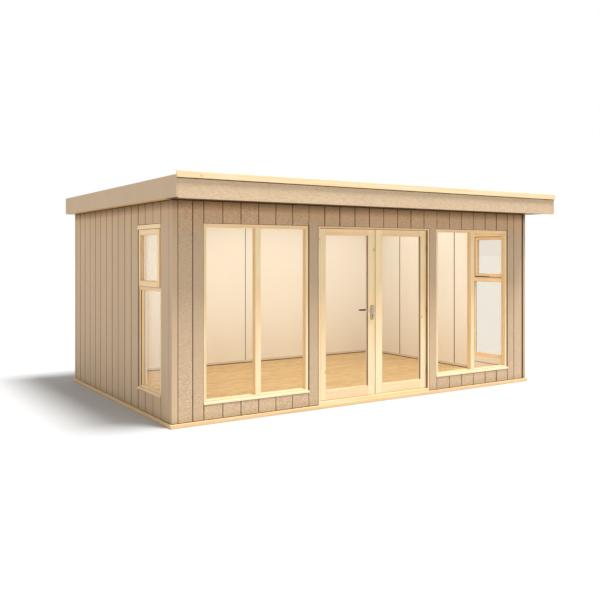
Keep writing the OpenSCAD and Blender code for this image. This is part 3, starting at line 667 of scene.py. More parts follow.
class Piece:
    """A piece in the making: its mesh, its finishes and a shade for each board."""

    def __init__(self, name, place=None):
        self.name = name
        self.place = place
        self.mesh = bmesh.new()
        self.shade = self.mesh.faces.layers.float.new("shade")
        self.finishes = []
        self.dice = random.Random(name)

    def fresh(self):
        """The faces made since the last dress."""
        return [face for face in self.mesh.faces if face[self.shade] == 0]

    def dress(self, name):
        """Gives the faces made since the last call one finish and one shade."""
        if name not in self.finishes:
            self.finishes.append(name)
        shade = self.dice.uniform(0.02, 1.0)
        for face in self.fresh():
            face[self.shade] = shade
            face.material_index = self.finishes.index(name)

    def bevel(self, edges, width, segments):
        bmesh.ops.bevel(
            self.mesh, geom=list(edges), offset=width, offset_type="OFFSET", segments=segments,
            profile=0.5, affect="EDGES", material=-1, clamp_overlap=True,
        )

    def block(self, low, high):
        """A plain block between two corners, not yet dressed."""
        low, high = Vector(low), Vector(high)
        spot = Matrix.Translation((low + high) / 2) @ Matrix.Diagonal((*(high - low), 1.0))
        made = bmesh.ops.create_cube(self.mesh, size=1.0, matrix=spot)
        return {edge for corner in made["verts"] for edge in corner.link_edges}

    def bar(self, name, low, high, edge=EASED, segments=2):
        """A straight bar between two corners, with its edges eased."""
        edges = self.block(low, high)
        if edge:
            self.bevel(edges, edge, segments)
        self.dress(name)

    def facings(self, name, across, up, depth, thin):
        """Thin upright boards on both sides of an opening."""
        for left in (across[0], across[1] - thin):
            self.bar(name, (left, depth[0], up[0]), (left + thin, depth[1], up[1]), 0)

    def returns(self, name, across, up, depth, thin):
        """Thin boards at the sides and head of the opening behind a frame."""
        self.facings(name, across, up, depth, thin)
        self.bar(name, (across[0] + thin, depth[0], up[1] - thin), (across[1] - thin, depth[1], up[1]), 0)

    def surround(self, upright, level, across, up, depth, width, edge=0, segments=2):
        """Four bars round an opening, the uprights past the level ones."""
        front, back = depth
        for left in (across[0], across[1] - width):
            self.bar(upright, (left, front, up[0]), (left + width, back, up[1]), edge, segments)
        inner = (across[0] + width, across[1] - width)
        for foot in (up[0], up[1] - width):
            self.bar(level, (inner[0], front, foot), (inner[1], back, foot + width), edge, segments)

    def board(self, name, across, up, depth, holes, edge, turn, segments=2):
        """A board cut from a flat sheet, with holes and notches, its front edges eased."""
        mesh = self.mesh
        size = Vector((across[1] - across[0], up[1] - up[0], 1.0))
        spot = Matrix.Translation(((across[0] + across[1]) / 2, (up[0] + up[1]) / 2, 0.0))
        made = bmesh.ops.create_grid(
            mesh, x_segments=1, y_segments=1, size=0.5, matrix=spot @ Matrix.Diagonal((*size, 1.0))
        )
        faces = cut_out(mesh, made["verts"][0].link_faces[0], holes)
        if not faces:
            return
        made = bmesh.ops.extrude_face_region(mesh, geom=faces, use_keep_orig=True)
        back = [g for g in made["geom"] if isinstance(g, bmesh.types.BMVert)]
        bmesh.ops.translate(mesh, verts=back, vec=(0.0, 0.0, -depth))
        bmesh.ops.recalc_face_normals(mesh, faces=self.fresh())
        if edge:
            front = {
                e for f in self.fresh() for e in f.edges
                if all(v.co.z > -depth / 2 for v in e.verts) and e.calc_face_angle(0.0) > CREASE
            }
            self.bevel(front, edge, segments)
        corners = {v for f in self.fresh() for v in f.verts}
        bmesh.ops.transform(mesh, matrix=turn, verts=list(corners))
        self.dress(name)

    def plate(self, name, spot, size, depth, edge):
        """An upright plate with round ends, from its back to its face."""
        face, (near, far) = depth[1], sorted(depth)
        wide, tall = size[0] / 2, size[1] / 2
        edges = self.block((spot[0] - wide, near, spot[1] - tall), (spot[0] + wide, far, spot[1] + tall))
        through = {e for e in edges if abs(e.verts[0].co.y - e.verts[1].co.y) > NEAR}
        self.bevel(through, size[0] * 0.499, 8)
        rim = {e for f in self.fresh() for e in f.edges if all(abs(v.co.y - face) < NEAR for v in e.verts)}
        self.bevel(rim, edge, 2)
        self.dress(name)

    def turned(self, name, low_end, high_end, radius, tip=None, segments=24, edge=0.0):
        """A turned pin or disc between two points."""
        low_end, high_end = Vector(low_end), Vector(high_end)
        way = high_end - low_end
        spot = Matrix.Translation((low_end + high_end) / 2) @ way.to_track_quat("Z", "Y").to_matrix().to_4x4()
        made = bmesh.ops.create_cone(
            self.mesh, cap_ends=True, segments=segments, radius1=radius,
            radius2=radius if tip is None else tip, depth=way.length, matrix=spot,
        )
        if edge:
            edges = {e for v in made["verts"] for e in v.link_edges}
            self.bevel({e for e in edges if e.calc_face_angle(0.0) > RIM}, edge, 2)
        self.dress(name)

    def finished(self, body, slot, *nodes, smooth=False):
        """Turns the mesh into an object that rides on a body and stands for CAD nodes."""
        if self.place is not None:
            bmesh.ops.transform(self.mesh, matrix=self.place, verts=self.mesh.verts)
        if not self.mesh.faces:
            raise RuntimeError("nothing was made for " + self.name)
        data = bpy.data.meshes.new(self.name)
        self.mesh.to_mesh(data)
        self.mesh.free()
        if smooth:
            data.shade_smooth()
            data.set_sharp_from_angle(angle=SHARP)
        made = bpy.data.objects.new(self.name, data)
        bpy.context.scene.collection.objects.link(made)
        for name in self.finishes:
            data.materials.append(finish(name))
        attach(made, body)
        if nodes:
            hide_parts(*nodes)
        return made


def paint_node(node, name):
    """Gives a CAD node that stays in view its finish."""
    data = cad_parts[node].data
    data.materials.clear()
    data.materials.append(finish(name))


def wall_frames():
    """For each wall, a frame with x along it, y inward from its face and z up."""
    low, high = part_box("corner_posts")
    return {
        "front": Matrix.Translation((low.x, low.y, 0)),
        "right": Matrix.Translation((high.x, low.y, 0)) @ Matrix.Rotation(math.pi / 2, 4, "Z"),
        "back": Matrix.Translation((high.x, high.y, 0)) @ Matrix.Rotation(math.pi, 4, "Z"),
        "left": Matrix.Translation((low.x, high.y, 0)) @ Matrix.Rotation(-math.pi / 2, 4, "Z"),
    }


def in_wall(place, node):
    """A CAD node's box in a wall's own frame."""
    ends = [place.inverted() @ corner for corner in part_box(node)]
    low = Vector(min(end[axis] for end in ends) for axis in range(3))
    high = Vector(max(end[axis] for end in ends) for axis in range(3))
    return low, high


def opening(place, frame_node, sill_node):
    """The hole in a wall for a window and its sill."""
    low, high = in_wall(place, frame_node)
    return (low.x, high.x), (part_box(sill_node)[0].z, high.z)


def widened(holes, across, up):
    """Holes made larger on all sides."""
    return [((a - across, b + across), (c - up, d + up)) for (a, b), (c, d) in holes]


def clad(piece, sizes, seams, up, holes, name):
    """Boards between the joints, each with a little of the groove on either side."""
    groove, shares = sizes.side_groove, SIDE_SHARES
    if name == "cladding_x":
        groove, shares = sizes.groove, FRONT_SHARES
    holes = widened(holes, sizes.frame_gap, sizes.frame_gap / 2)
    for first, second in zip(seams, seams[1:]):
        half = groove * piece.dice.uniform(*shares)
        piece.board(name, (first + half, second - half), up, sizes.board, holes, sizes.board_edge, UPRIGHT)


def core(piece, sizes, width, up, depth, holes):
    """The body of a wall behind its boards."""
    holes = widened(holes, sizes.core_gap, sizes.core_gap)
    turn = Matrix.Translation((0, sizes.groove_depth, 0)) @ UPRIGHT
    piece.board("groove", width, up, depth - sizes.groove_depth, holes, 0, turn)


class Base(bpy.types.Operator):
    """Plinth boards round the base"""

    bl_idname = "garden_room.base"
    bl_label = "Base"

    def execute(self, context):
        thick = context.scene.room_sizes.plinth
        low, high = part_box("plinth")
        piece = Piece("plinth_boards")
        for front, back in ((low.y, low.y + thick), (high.y - thick, high.y)):
            piece.bar("plinth_x", (low.x, front, low.z), (high.x, back, high.z), ROUNDED, 3)
        front, back = low.y + thick + HAIR, high.y - thick - HAIR
        for left, right in ((low.x, low.x + thick), (high.x - thick, high.x)):
            piece.bar("plinth_y", (left, front, low.z), (right, back, high.z), ROUNDED, 3)
        piece.finished("room", "pine", "plinth")
        paint_node("floor_panel", "panel")
        return {"FINISHED"}


class Floor(bpy.types.Operator):
    """Floor planks with staggered ends, and the skirting"""

    bl_idname = "garden_room.floor"
    bl_label = "Floor"

    def execute(self, context):
        self.planks(context.scene.room_sizes)
        self.skirting(context.scene.room_sizes)
        return {"FINISHED"}

    def planks(self, sizes):
        low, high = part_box("floor_boards")
        piece = Piece("floor_planks")
        rows = round((high.y - low.y) / sizes.plank)
        width = (high.y - low.y) / rows
        for row in range(rows):
            joint = low.x + (high.x - low.x) * PLANK_JOINTS[row % len(PLANK_JOINTS)]
            front = low.y + row * width
            for left, right in ((low.x, joint), (joint, high.x)):
                piece.bar(
                    "oak_floor", (left, front, low.z), (right, front + width, high.z), sizes.plank_edge, 1
                )
        piece.finished("room", "oak_floor", "floor_boards")

    def skirting(self, sizes):
        low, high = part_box("skirting")
        door_low, door_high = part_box("door_frame")
        thick, foot = sizes.skirting, low.z + sizes.skirting_gap
        inner = thick + HAIR
        piece = Piece("skirting_boards")
        for name, thin, lift, head, edge in (
            ("skirting", 0.0, foot, high.z, ROUNDED), ("groove", sizes.skirting_recess, low.z, foot, 0),
        ):
            for left, right in ((low.x, low.x + thick - thin), (high.x - thick + thin, high.x)):
                piece.bar(name, (left, low.y + inner, lift), (right, high.y - inner, head), edge, 3)
            for left, right in ((low.x, door_low.x), (door_high.x, high.x)):
                piece.bar(name, (left, low.y, lift), (right, low.y + thick - thin, head), edge, 3)
            piece.bar(name, (low.x, high.y - thick + thin, lift), (high.x, high.y, head), edge, 3)
        piece.finished("room", "lining", "skirting")


class Cladding(bpy.types.Operator):
    """Upright boards on the four walls, and the corner trims"""

    bl_idname = "garden_room.cladding"
    bl_label = "Cladding"

    def execute(self, context):
        sizes = context.scene.room_sizes
        low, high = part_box("corner_posts")
        up = (low.z, high.z)
        boards_up = (low.z + sizes.foot_gap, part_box("soffits")[0].z - sizes.foot_gap)
        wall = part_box("left_wall")[1].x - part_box("left_wall")[0].x
        self.walls(sizes, low, high, up, boards_up, wall)
        self.corners(sizes, low, high, up, boards_up, wall)
        return {"FINISHED"}

    def front_seams(self, sizes, wide):
        """Joints along the front, which line up with the windows."""
        pitch = (wide - 2 * sizes.front_window) / sizes.front_boards
        middle = [sizes.front_window + pitch * step for step in range(sizes.front_boards + 1)]
        ends = [sizes.corner_trim, sizes.front_end]
        return ends + middle + [wide - end for end in reversed(ends)]

    def side_seams(self, sizes, deep):
        """Joints along a side, at even steps from the front."""
        seams, last = [sizes.corner_trim], deep - sizes.corner_trim
        while seams[-1] + LAST_BOARD * sizes.side_board < last:
            seams.append(seams[-1] + sizes.side_board)
        return seams + [last]

    def walls(self, sizes, low, high, up, boards_up, wall):
        places = wall_frames()
        wide, deep, trim = high.x - low.x, high.y - low.y, sizes.corner_trim
        front_seams, side_seams = self.front_seams(sizes, wide), self.side_seams(sizes, deep)
        front_holes = [
            opening(places["front"], side + "_front_frame", "front_sills") for side in ("left", "right")
        ]
        door_low, door_high = in_wall(places["front"], "door_frame")
        front_holes.append(((door_low.x, door_high.x), (up[0] - sizes.board, door_high.z)))
        left_hole, right_hole = (
            opening(places[side], side + "_side_frame", "side_sills") for side in ("left", "right")
        )
        front_nodes = ("front_wall_left", "front_wall_right", "front_wall_head")
        long, short = ("cladding_x", trim, wide), ("cladding_y", wall, deep)
        for name, (grain, end, width), seams, holes, nodes in (
            ("front", long, front_seams, front_holes, front_nodes),
            ("back", long, front_seams, [], ("back_wall",)),
            ("right", short, side_seams, [right_hole], ("right_wall",)),
            ("left", short, [deep - seam for seam in reversed(side_seams)], [left_hole], ("left_wall",)),
        ):
            piece = Piece(name + "_cladding", places[name])
            core(piece, sizes, (end, width - end), up, wall, holes)
            clad(piece, sizes, seams, boards_up, holes, grain)
            piece.finished("room", "cladding", *nodes)

    def corners(self, sizes, low, high, up, boards_up, wall):
        piece = Piece("corner_trims")
        trim, gap, inset = sizes.corner_trim, sizes.trim_gap, sizes.post_inset
        for front, back, right_gap in (
            (low.y, low.y + trim - gap, sizes.corner_gap), (high.y - trim + gap, high.y, gap),
        ):
            for left, right in ((low.x, low.x + trim - gap), (high.x - trim + right_gap, high.x)):
                piece.bar("cladding_y", (left, front, boards_up[0]), (right, back, boards_up[1]), ROUNDED, 3)
        for left, right in ((low.x + inset, low.x + trim), (high.x - trim, high.x - inset)):
            for front, back in ((low.y + inset, low.y + wall), (high.y - wall, high.y - inset)):
                piece.bar("groove", (left, front, up[0]), (right, back, up[1]), 0)
        piece.finished("room", "cladding", "corner_posts")


class Lining(bpy.types.Operator):
    """Painted lining with strips over its joints, the ceiling, and the aprons under the side windows"""

    bl_idname = "garden_room.lining"
    bl_label = "Lining"

    def execute(self, context):
        for node in ("front_lining", "left_lining", "right_lining", "back_lining", "ceiling"):
            paint_node(node, "lining")
        self.strips(context.scene.room_sizes)
        self.aprons(context.scene.room_sizes)
        return {"FINISHED"}

    def strips(self, sizes):
        half, proud = sizes.panel_strip / 2, sizes.strip_proud
        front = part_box("corner_posts")[0].y
        piece = Piece("lining_joints")
        for node, left, right in (("left_lining", 0.0, proud), ("right_lining", proud, 0.0)):
            low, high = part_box(node)
            for step in (1, 2):
                joint = front + step * sizes.panel
                piece.bar(
                    "groove", (low.x - left, joint - half, low.z), (high.x + right, joint + half, high.z), 0
                )
        low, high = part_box("back_lining")
        half = sizes.back_strip / 2
        for step in (-1, 0, 1):
            joint = step * sizes.panel
            piece.bar("groove", (joint - half, low.y - proud, low.z), (joint + half, high.y, high.z), 0)
        piece.finished("room", None)

    def aprons(self, sizes):
        places = wall_frames()
        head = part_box("side_sills")[0].z
        foot, thick = head - sizes.apron, sizes.apron_board
        for side in ("left", "right"):
            piece = Piece(side + "_apron", places[side])
            low, high = in_wall(places[side], side + "_side_frame")
            piece.bar("lining", (low.x, high.y, foot), (high.x, high.y + thick, head), sizes.apron_edge, 1)
            shadow = foot - sizes.apron_gap
            piece.bar("groove", (low.x, high.y, shadow), (high.x, high.y + thick / 2, foot), 0)
            piece.finished("room", None)


class Roof(bpy.types.Operator):
    """Fascias, front trim, soffits and the roof covering"""

    bl_idname = "garden_room.roof"
    bl_label = "Roof"

    def execute(self, context):
        sizes = context.scene.room_sizes
        self.edges(sizes)
        self.soffits(sizes)
        self.covering(sizes)
        paint_node("roof_panel", "panel")
        return {"FINISHED"}

    def edges(self, sizes):
        for side, grain in (
            ("front", "fascia_x"), ("back", "fascia_x"), ("left", "fascia_y"), ("right", "fascia_y"),
        ):
            node = side + "_fascia"
            piece = Piece(node + "_board")
            low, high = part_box(node)
            if side == "front":
                low.z -= sizes.fascia_drop
            piece.bar(grain, low, high, SOFTENED, 3)
            piece.finished("room", "fascia", node)

        piece = Piece("front_roof_trim")
        low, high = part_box("front_trim")
        piece.bar("trim_x", low, high, SOFTENED, 3)
        front, foot = high.y - sizes.trim_recess, low.z - sizes.trim_shadow
        piece.bar("groove", (low.x + SOFTENED, front, foot), (high.x - SOFTENED, high.y, low.z), 0)
        piece.finished("room", "pine", "front_trim")

    def soffits(self, sizes):
        piece = Piece("soffit_boards")
        low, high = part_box("soffits")
        wall_low, wall_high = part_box("corner_posts")
        step = (wall_low.y - low.y) / sizes.eave_boards
        for row in range(sizes.eave_boards):
            front = low.y + row * step
            # The front soffit boards take the dark eave colour: painted shade
            piece.bar("eave_x", (low.x, front, low.z), (high.x, front + step, high.z))
        for left, right in ((low.x, wall_low.x), (wall_high.x, high.x)):
            piece.bar("soffit_y", (left, wall_low.y, low.z), (right, high.y, high.z))
        piece.bar("soffit_x", (wall_low.x, wall_high.y, low.z), (wall_high.x, high.y, high.z))
        piece.finished("room", "pine", "soffits")

    def covering(self, sizes):
        """Strips that fall to the back, with laps between them and upstands at the edges."""
        low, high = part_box("roof_sheet")
        thick, run = sizes.sheet, high.y - low.y
        fall = math.atan2(high.z - low.z - thick, run)
        place = Matrix.Translation((0, low.y, high.z)) @ Matrix.Rotation(-fall, 4, "X")
        reach = run / math.cos(fall)
        piece = Piece("roof_covering", place)
        strips = round((high.x - low.x) / sizes.sheet_strip)
        width = (high.x - low.x) / strips
        sunk, edge = -sizes.sheet_bed, sizes.kerb_edge
        for strip in range(strips):
            left = low.x + strip * width
            piece.bar("roof_sheet", (left, 0, -thick), (left + width, reach, 0), 0)
            if strip:
                low_end = (left - sizes.lap_left, sizes.lap_set, sunk)
                high_end = (left + sizes.lap_right, reach, sizes.lap)
                piece.bar("roof_sheet", low_end, high_end, sizes.lap_edge, 1)
        back = reach - sizes.kerb_end
        for left, right in ((low.x, low.x + sizes.kerb), (high.x - sizes.kerb, high.x)):
            piece.bar("roof_sheet", (left, 0.0, sunk), (right, back, sizes.kerb_rise), edge, 1)
        rise = sizes.front_kerb_rise
        piece.bar("roof_sheet", (low.x, 0.0, sunk), (high.x, sizes.front_kerb, rise), edge, 1)
        piece.finished("room", "roof_sheet", "roof_sheet")


class FrontWindows(bpy.types.Operator):
    """Frames and mullions of the two front windows"""

    bl_idname = "garden_room.front_windows"
    bl_label = "Front Windows"

    def execute(self, context):
        sizes = context.scene.room_sizes
        face = sizes.frame_side
        for side in ("left", "right"):
            node = side + "_front_frame"
            low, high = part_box(node)
            piece = Piece(side + "_front_joinery")
            split = low.y + sizes.frame_depth
            inner = (low.x + face, high.x - face)
            middle = (low.x + high.x) / 2
            up = (low.z + sizes.frame_foot, high.z - face)
            post = (middle - sizes.mullion / 2, middle + sizes.mullion / 2)
            for left in (low.x, high.x - face):
                piece.bar("stile_z", (left, low.y, low.z), (left + face, split, high.z))
            piece.bar("pine_x", (inner[0], low.y, low.z), (inner[1], split, up[0]))
            piece.bar("pine_x", (inner[0], low.y, up[1]), (inner[1], split, high.z))
            piece.bar("stile_z", (post[0], low.y, up[0]), (post[1], split, up[1]))
            # Darker facings on the sides of each pane: painted shade
            for pane in ((inner[0], post[0]), (post[1], inner[1])):
                piece.facings("reveal_z", pane, up, (low.y + SOFTENED, split - EASED), sizes.facing)
            piece.returns("lining", (low.x, high.x), (low.z, high.z), (split, high.y), sizes.return_board)
            piece.finished("room", "pine", node)
        return {"FINISHED"}


class SideWindows(bpy.types.Operator):
    """Frames, opening lights and drip boards of the two side windows"""

    bl_idname = "garden_room.side_windows"
    bl_label = "Side Windows"

    def execute(self, context):
        sizes = context.scene.room_sizes
        places = wall_frames()
        # The right window takes the darker casement pine, and the darker reveal pine inside: painted shade
        for side, wood, inside in (("left", "pine", "lining"), ("right", "casement", "reveal_z")):
            self.frame(sizes, side, places[side], wood, inside)
            self.light(sizes, side, places[side], wood, inside)
        return {"FINISHED"}

    def facings(self, piece, sizes, painted_shade_strip, inside, across, up, front, back):
        """A dark strip of painted shade at the outer edge of a reveal, a facing of the darker reveal pine,
        also painted shade, and an inner one.
        """
        edge, turn = front + sizes.edge_facing, front + sizes.facing_depth
        for name, depth in (
            (painted_shade_strip, (front + EASED, edge)), ("reveal_z", (edge, turn)), (inside, (turn, back - BACK_LIP)),
        ):
            piece.facings(name, across, up, depth, sizes.facing)

    def frame(self, sizes, side, place, wood, inside):
        low, high = in_wall(place, side + "_side_frame")
        light_low, light_high = in_wall(place, side + "_side_light")
        face, foot, front = sizes.side_face, low.z + sizes.frame_foot, sizes.frame_set
        slim = light_low.x - low.x
        lap = face - slim
        sill_z = light_low.z - sizes.transom
        split, behind = front + sizes.frame_depth, light_high.y
        inner = (low.x + face, high.x - face)
        piece = Piece(side + "_side_joinery", place)
        upright, level = wood + "_z", wood + "_y"
        for left, thin in ((low.x, low.x), (high.x - face, high.x - slim)):
            piece.bar(upright, (left, front, low.z), (left + face, split, light_low.z))
            piece.bar(upright, (thin, front, light_low.z), (thin + slim, behind, light_high.z))
            piece.bar(upright, (left, behind, light_low.z), (left + face, split, light_high.z))
        piece.bar(level, (inner[0], front, low.z), (inner[1], split, foot))
        piece.bar(level, (inner[0], front, sill_z), (inner[1], split, light_low.z))
        up = (light_low.z + lap, light_high.z - lap)
        for under, over in ((light_low.z, up[0]), (up[1], light_high.z)):
            piece.bar(level, (inner[0], behind, under), (inner[1], split, over))
        piece.bar(level, (low.x, low.y, light_high.z), (high.x, split, high.z), SOFTENED, 3)
        self.facings(piece, sizes, "seal", inside, inner, (foot, sill_z), front, split)
        seal_back = behind + sizes.seal_depth
        piece.facings(inside, inner, up, (seal_back, split - BACK_LIP), sizes.facing)
        piece.returns(inside, (low.x, high.x), (low.z, high.z), (split, high.y), sizes.return_board)
        piece.surround("seal", "seal", inner, up, (behind, seal_back), sizes.seal)
        round_light = ((light_low.x, light_high.x), (light_low.z, light_high.z))
        piece.surround("seal", "seal", *round_light, (front + sizes.seal_set, behind), sizes.light_gap)
        piece.finished("room", "pine", side + "_side_frame")

    def light(self, sizes, side, place, wood, inside):
        low, high = in_wall(place, side + "_side_light")
        across = (low.x + sizes.light_stile, high.x - sizes.light_stile)
        up = (low.z + sizes.light_foot, high.z - sizes.light_top)
        gap = Vector((sizes.light_gap, 0, sizes.light_gap))
        low, high = low + gap, high - gap
        piece = Piece(side + "_opening_light", place)
        for left, right in ((low.x, across[0]), (across[1], high.x)):
            piece.bar(wood + "_z", (left, low.y, low.z), (right, high.y, high.z))
        for under, over in ((low.z, up[0]), (up[1], high.z)):
            piece.bar(wood + "_y", (across[0], low.y, under), (across[1], high.y, over))
        self.facings(piece, sizes, "bead_z", inside, across, up, low.y, high.y)
        piece.finished("room", "pine", side + "_side_light")


class Sills(bpy.types.Operator):
    """Sills of all the windows, each with a rounded nose that reaches past its opening"""

    bl_idname = "garden_room.sills"
    bl_label = "Sills"

    def execute(self, context):
        sizes = context.scene.room_sizes
        places = wall_frames()
        for name, grain, walls in (
            # The side sills take the darker reveal pine: painted shade
            ("front", "sill_x", ("front", "front")), ("side", "reveal_y", ("left", "right")),
        ):
            node = name + "_sills"
            foot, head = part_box(node)[0].z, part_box(node)[1].z
            piece = Piece(name + "_sill_boards")
            for wall, side in zip(walls, ("left", "right")):
                low, high = in_wall(places[wall], side + "_" + name + "_frame")
                nose = in_wall(places[wall], node)[0].y
                notches = [((low.x - FAR, low.x), (0, FAR)), ((high.x, high.x + FAR), (0, FAR))]
                across = (low.x - sizes.sill_ear, high.x + sizes.sill_ear)
                turn = places[wall] @ Matrix.Translation((0, 0, head))
                piece.board(grain, across, (nose, high.y), head - foot, notches, sizes.sill_nose, turn, 3)
            piece.finished("room", "pine", node)
        return {"FINISHED"}


class Doors(bpy.types.Operator):
    """Door frame with its stops and threshold, and the two doors"""

    bl_idname = "garden_room.doors"
    bl_label = "Doors"

    def execute(self, context):
        sizes = context.scene.room_sizes
        self.surround(sizes)
        self.leaf(sizes, "left_door", sizes.hinge_stile, sizes.meeting_stile)
        self.leaf(sizes, "right_door", sizes.meeting_stile, sizes.hinge_stile)
        return {"FINISHED"}

    def surround(self, sizes):
        low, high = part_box("door_frame")
        leaf_low, leaf_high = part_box("left_door")
        side, step = sizes.door_side - sizes.hinge_gap, low.z + sizes.threshold
        stop, stop_y = sizes.stop, leaf_high.y + sizes.stop_gap
        floor_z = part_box("floor_boards")[1].z
        lining_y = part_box("front_lining")[0].y
        inner, head = (low.x + side, high.x - side), high.z - side
        piece = Piece("door_surround")
        for left in (low.x, high.x - side):
            piece.bar("stile_z", (left, low.y, low.z), (left + side, lining_y, high.z))
            piece.bar("stile_z", (left, lining_y, floor_z), (left + side, high.y, high.z))
        piece.bar("pine_x", (inner[0], low.y, head), (inner[1], high.y, high.z))
        piece.bar("pine_x", (inner[0], low.y, low.z), (inner[1], lining_y, step), SOFTENED, 3)
        piece.bar("pine_x", (inner[0], lining_y, floor_z), (inner[1], high.y, step), SOFTENED, 3)
        for left in (inner[0], inner[1] - stop):
            piece.bar("stile_z", (left, stop_y, step), (left + stop, high.y, head), sizes.stop_edge)
        ends = (inner[0] + stop, inner[1] - stop)
        piece.bar("pine_x", (ends[0], stop_y, head - stop), (ends[1], high.y, head), sizes.stop_edge)
        # Dark facings on the jambs: painted shade
        jambs = (low.y + EASED, leaf_low.y + sizes.jamb_facing)
        piece.facings("bead_z", inner, (step, head), jambs, sizes.facing / 2)
        piece.finished("room", "pine", "door_frame")

    def leaf(self, sizes, name, left_stile, right_stile):
        """One door, cut back at its hinges. The left one carries the seal between the two."""
        low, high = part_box(name)
        across = (low.x + left_stile, high.x - right_stile)
        up = (low.z + sizes.leaf_foot, high.z - sizes.leaf_top)
        left, right = low.x, high.x
        if name == "left_door":
            left += sizes.hinge_gap
        else:
            right -= sizes.hinge_gap
        piece = Piece(name + "_joinery")
        for start, end in ((left, across[0]), (across[1], right)):
            piece.bar("stile_z", (start, low.y, low.z), (end, high.y, high.z), sizes.stile_edge)
        for under, over in ((low.z, up[0]), (up[1], high.z)):
            piece.bar("pine_x", (across[0], low.y, under), (across[1], high.y, over))
        # Dark facings on the sides of the glass, with the lining colour behind them: the dark ones are
        # painted shade
        turn = low.y + sizes.leaf_facing
        piece.facings("bead_z", across, up, (low.y + EASED, turn), sizes.facing)
        piece.facings("lining", across, up, (turn, high.y - BACK_LIP), sizes.facing)
        if name == "left_door":
            ends = (right - sizes.meeting_bite, right + sizes.meeting_seal)
            back = (low.y + high.y) / 2 + sizes.meeting_reach
            piece.bar("seal", (ends[0], low.y + SOFTENED, low.z), (ends[1], back, high.z), 0)
        piece.finished(name, "pine", name)


class Glazing(bpy.types.Operator):
    """Glass and the beads round it"""

    bl_idname = "garden_room.glazing"
    bl_label = "Glazing"

    def execute(self, context):
        sizes = context.scene.room_sizes
        for side in ("left", "right"):
            for node in ("_front_glass", "_side_glass", "_door_glass"):
                paint_node(side + node, "glass")
            self.front(sizes, side)
            self.side(sizes, side)
            self.door(sizes, side)
        return {"FINISHED"}

    def beads(self, piece, sizes, upright, level, across, up, face):
        """Beads round a pane, on the outer face of the glass. The upright ones take a darker finish than the
        level ones: painted shade.
        """
        depth = (face - sizes.bead_depth, face)
        piece.surround(upright, level, across, up, depth, sizes.bead, sizes.bead_edge, 1)

    def front(self, sizes, side):
        place = wall_frames()["front"]
        low, high = in_wall(place, side + "_front_glass")
        piece = Piece(side + "_front_seals", place)
        middle, half, bite = (low.x + high.x) / 2, sizes.mullion / 2, sizes.bite
        for across in ((low.x + bite, middle - half), (middle + half, high.x - bite)):
            self.beads(piece, sizes, "reveal_z", "pine_x", across, (low.z + bite, high.z - bite), low.y)
        piece.finished("room", None)

    def side(self, sizes, side):
        place = wall_frames()[side]
        low, high = in_wall(place, side + "_side_frame")
        light_low, light_high = in_wall(place, side + "_side_light")
        glass_low, glass_high = in_wall(place, side + "_side_glass")
        piece = Piece(side + "_side_seals", place)
        across = (low.x + sizes.side_face, high.x - sizes.side_face)
        up = (low.z + sizes.frame_foot, light_low.z - sizes.transom)
        self.beads(piece, sizes, "bead_z", "pine_y", across, up, glass_high.y - sizes.pane)
        across = (light_low.x + sizes.light_stile, light_high.x - sizes.light_stile)
        up = (light_low.z + sizes.light_foot, light_high.z - sizes.light_top)
        self.beads(piece, sizes, "bead_z", "pine_y", across, up, glass_low.y)
        piece.finished("room", None)

    def door(self, sizes, side):
        place = wall_frames()["front"]
        low, high = in_wall(place, side + "_door_glass")
        piece = Piece(side + "_door_seals", place)
        across, up = (low.x + sizes.bite, high.x - sizes.bite), (low.z + sizes.bite, high.z - sizes.bite)
        self.beads(piece, sizes, "bead_z", "pine_x", across, up, low.y)
        piece.finished(side + "_door", None)


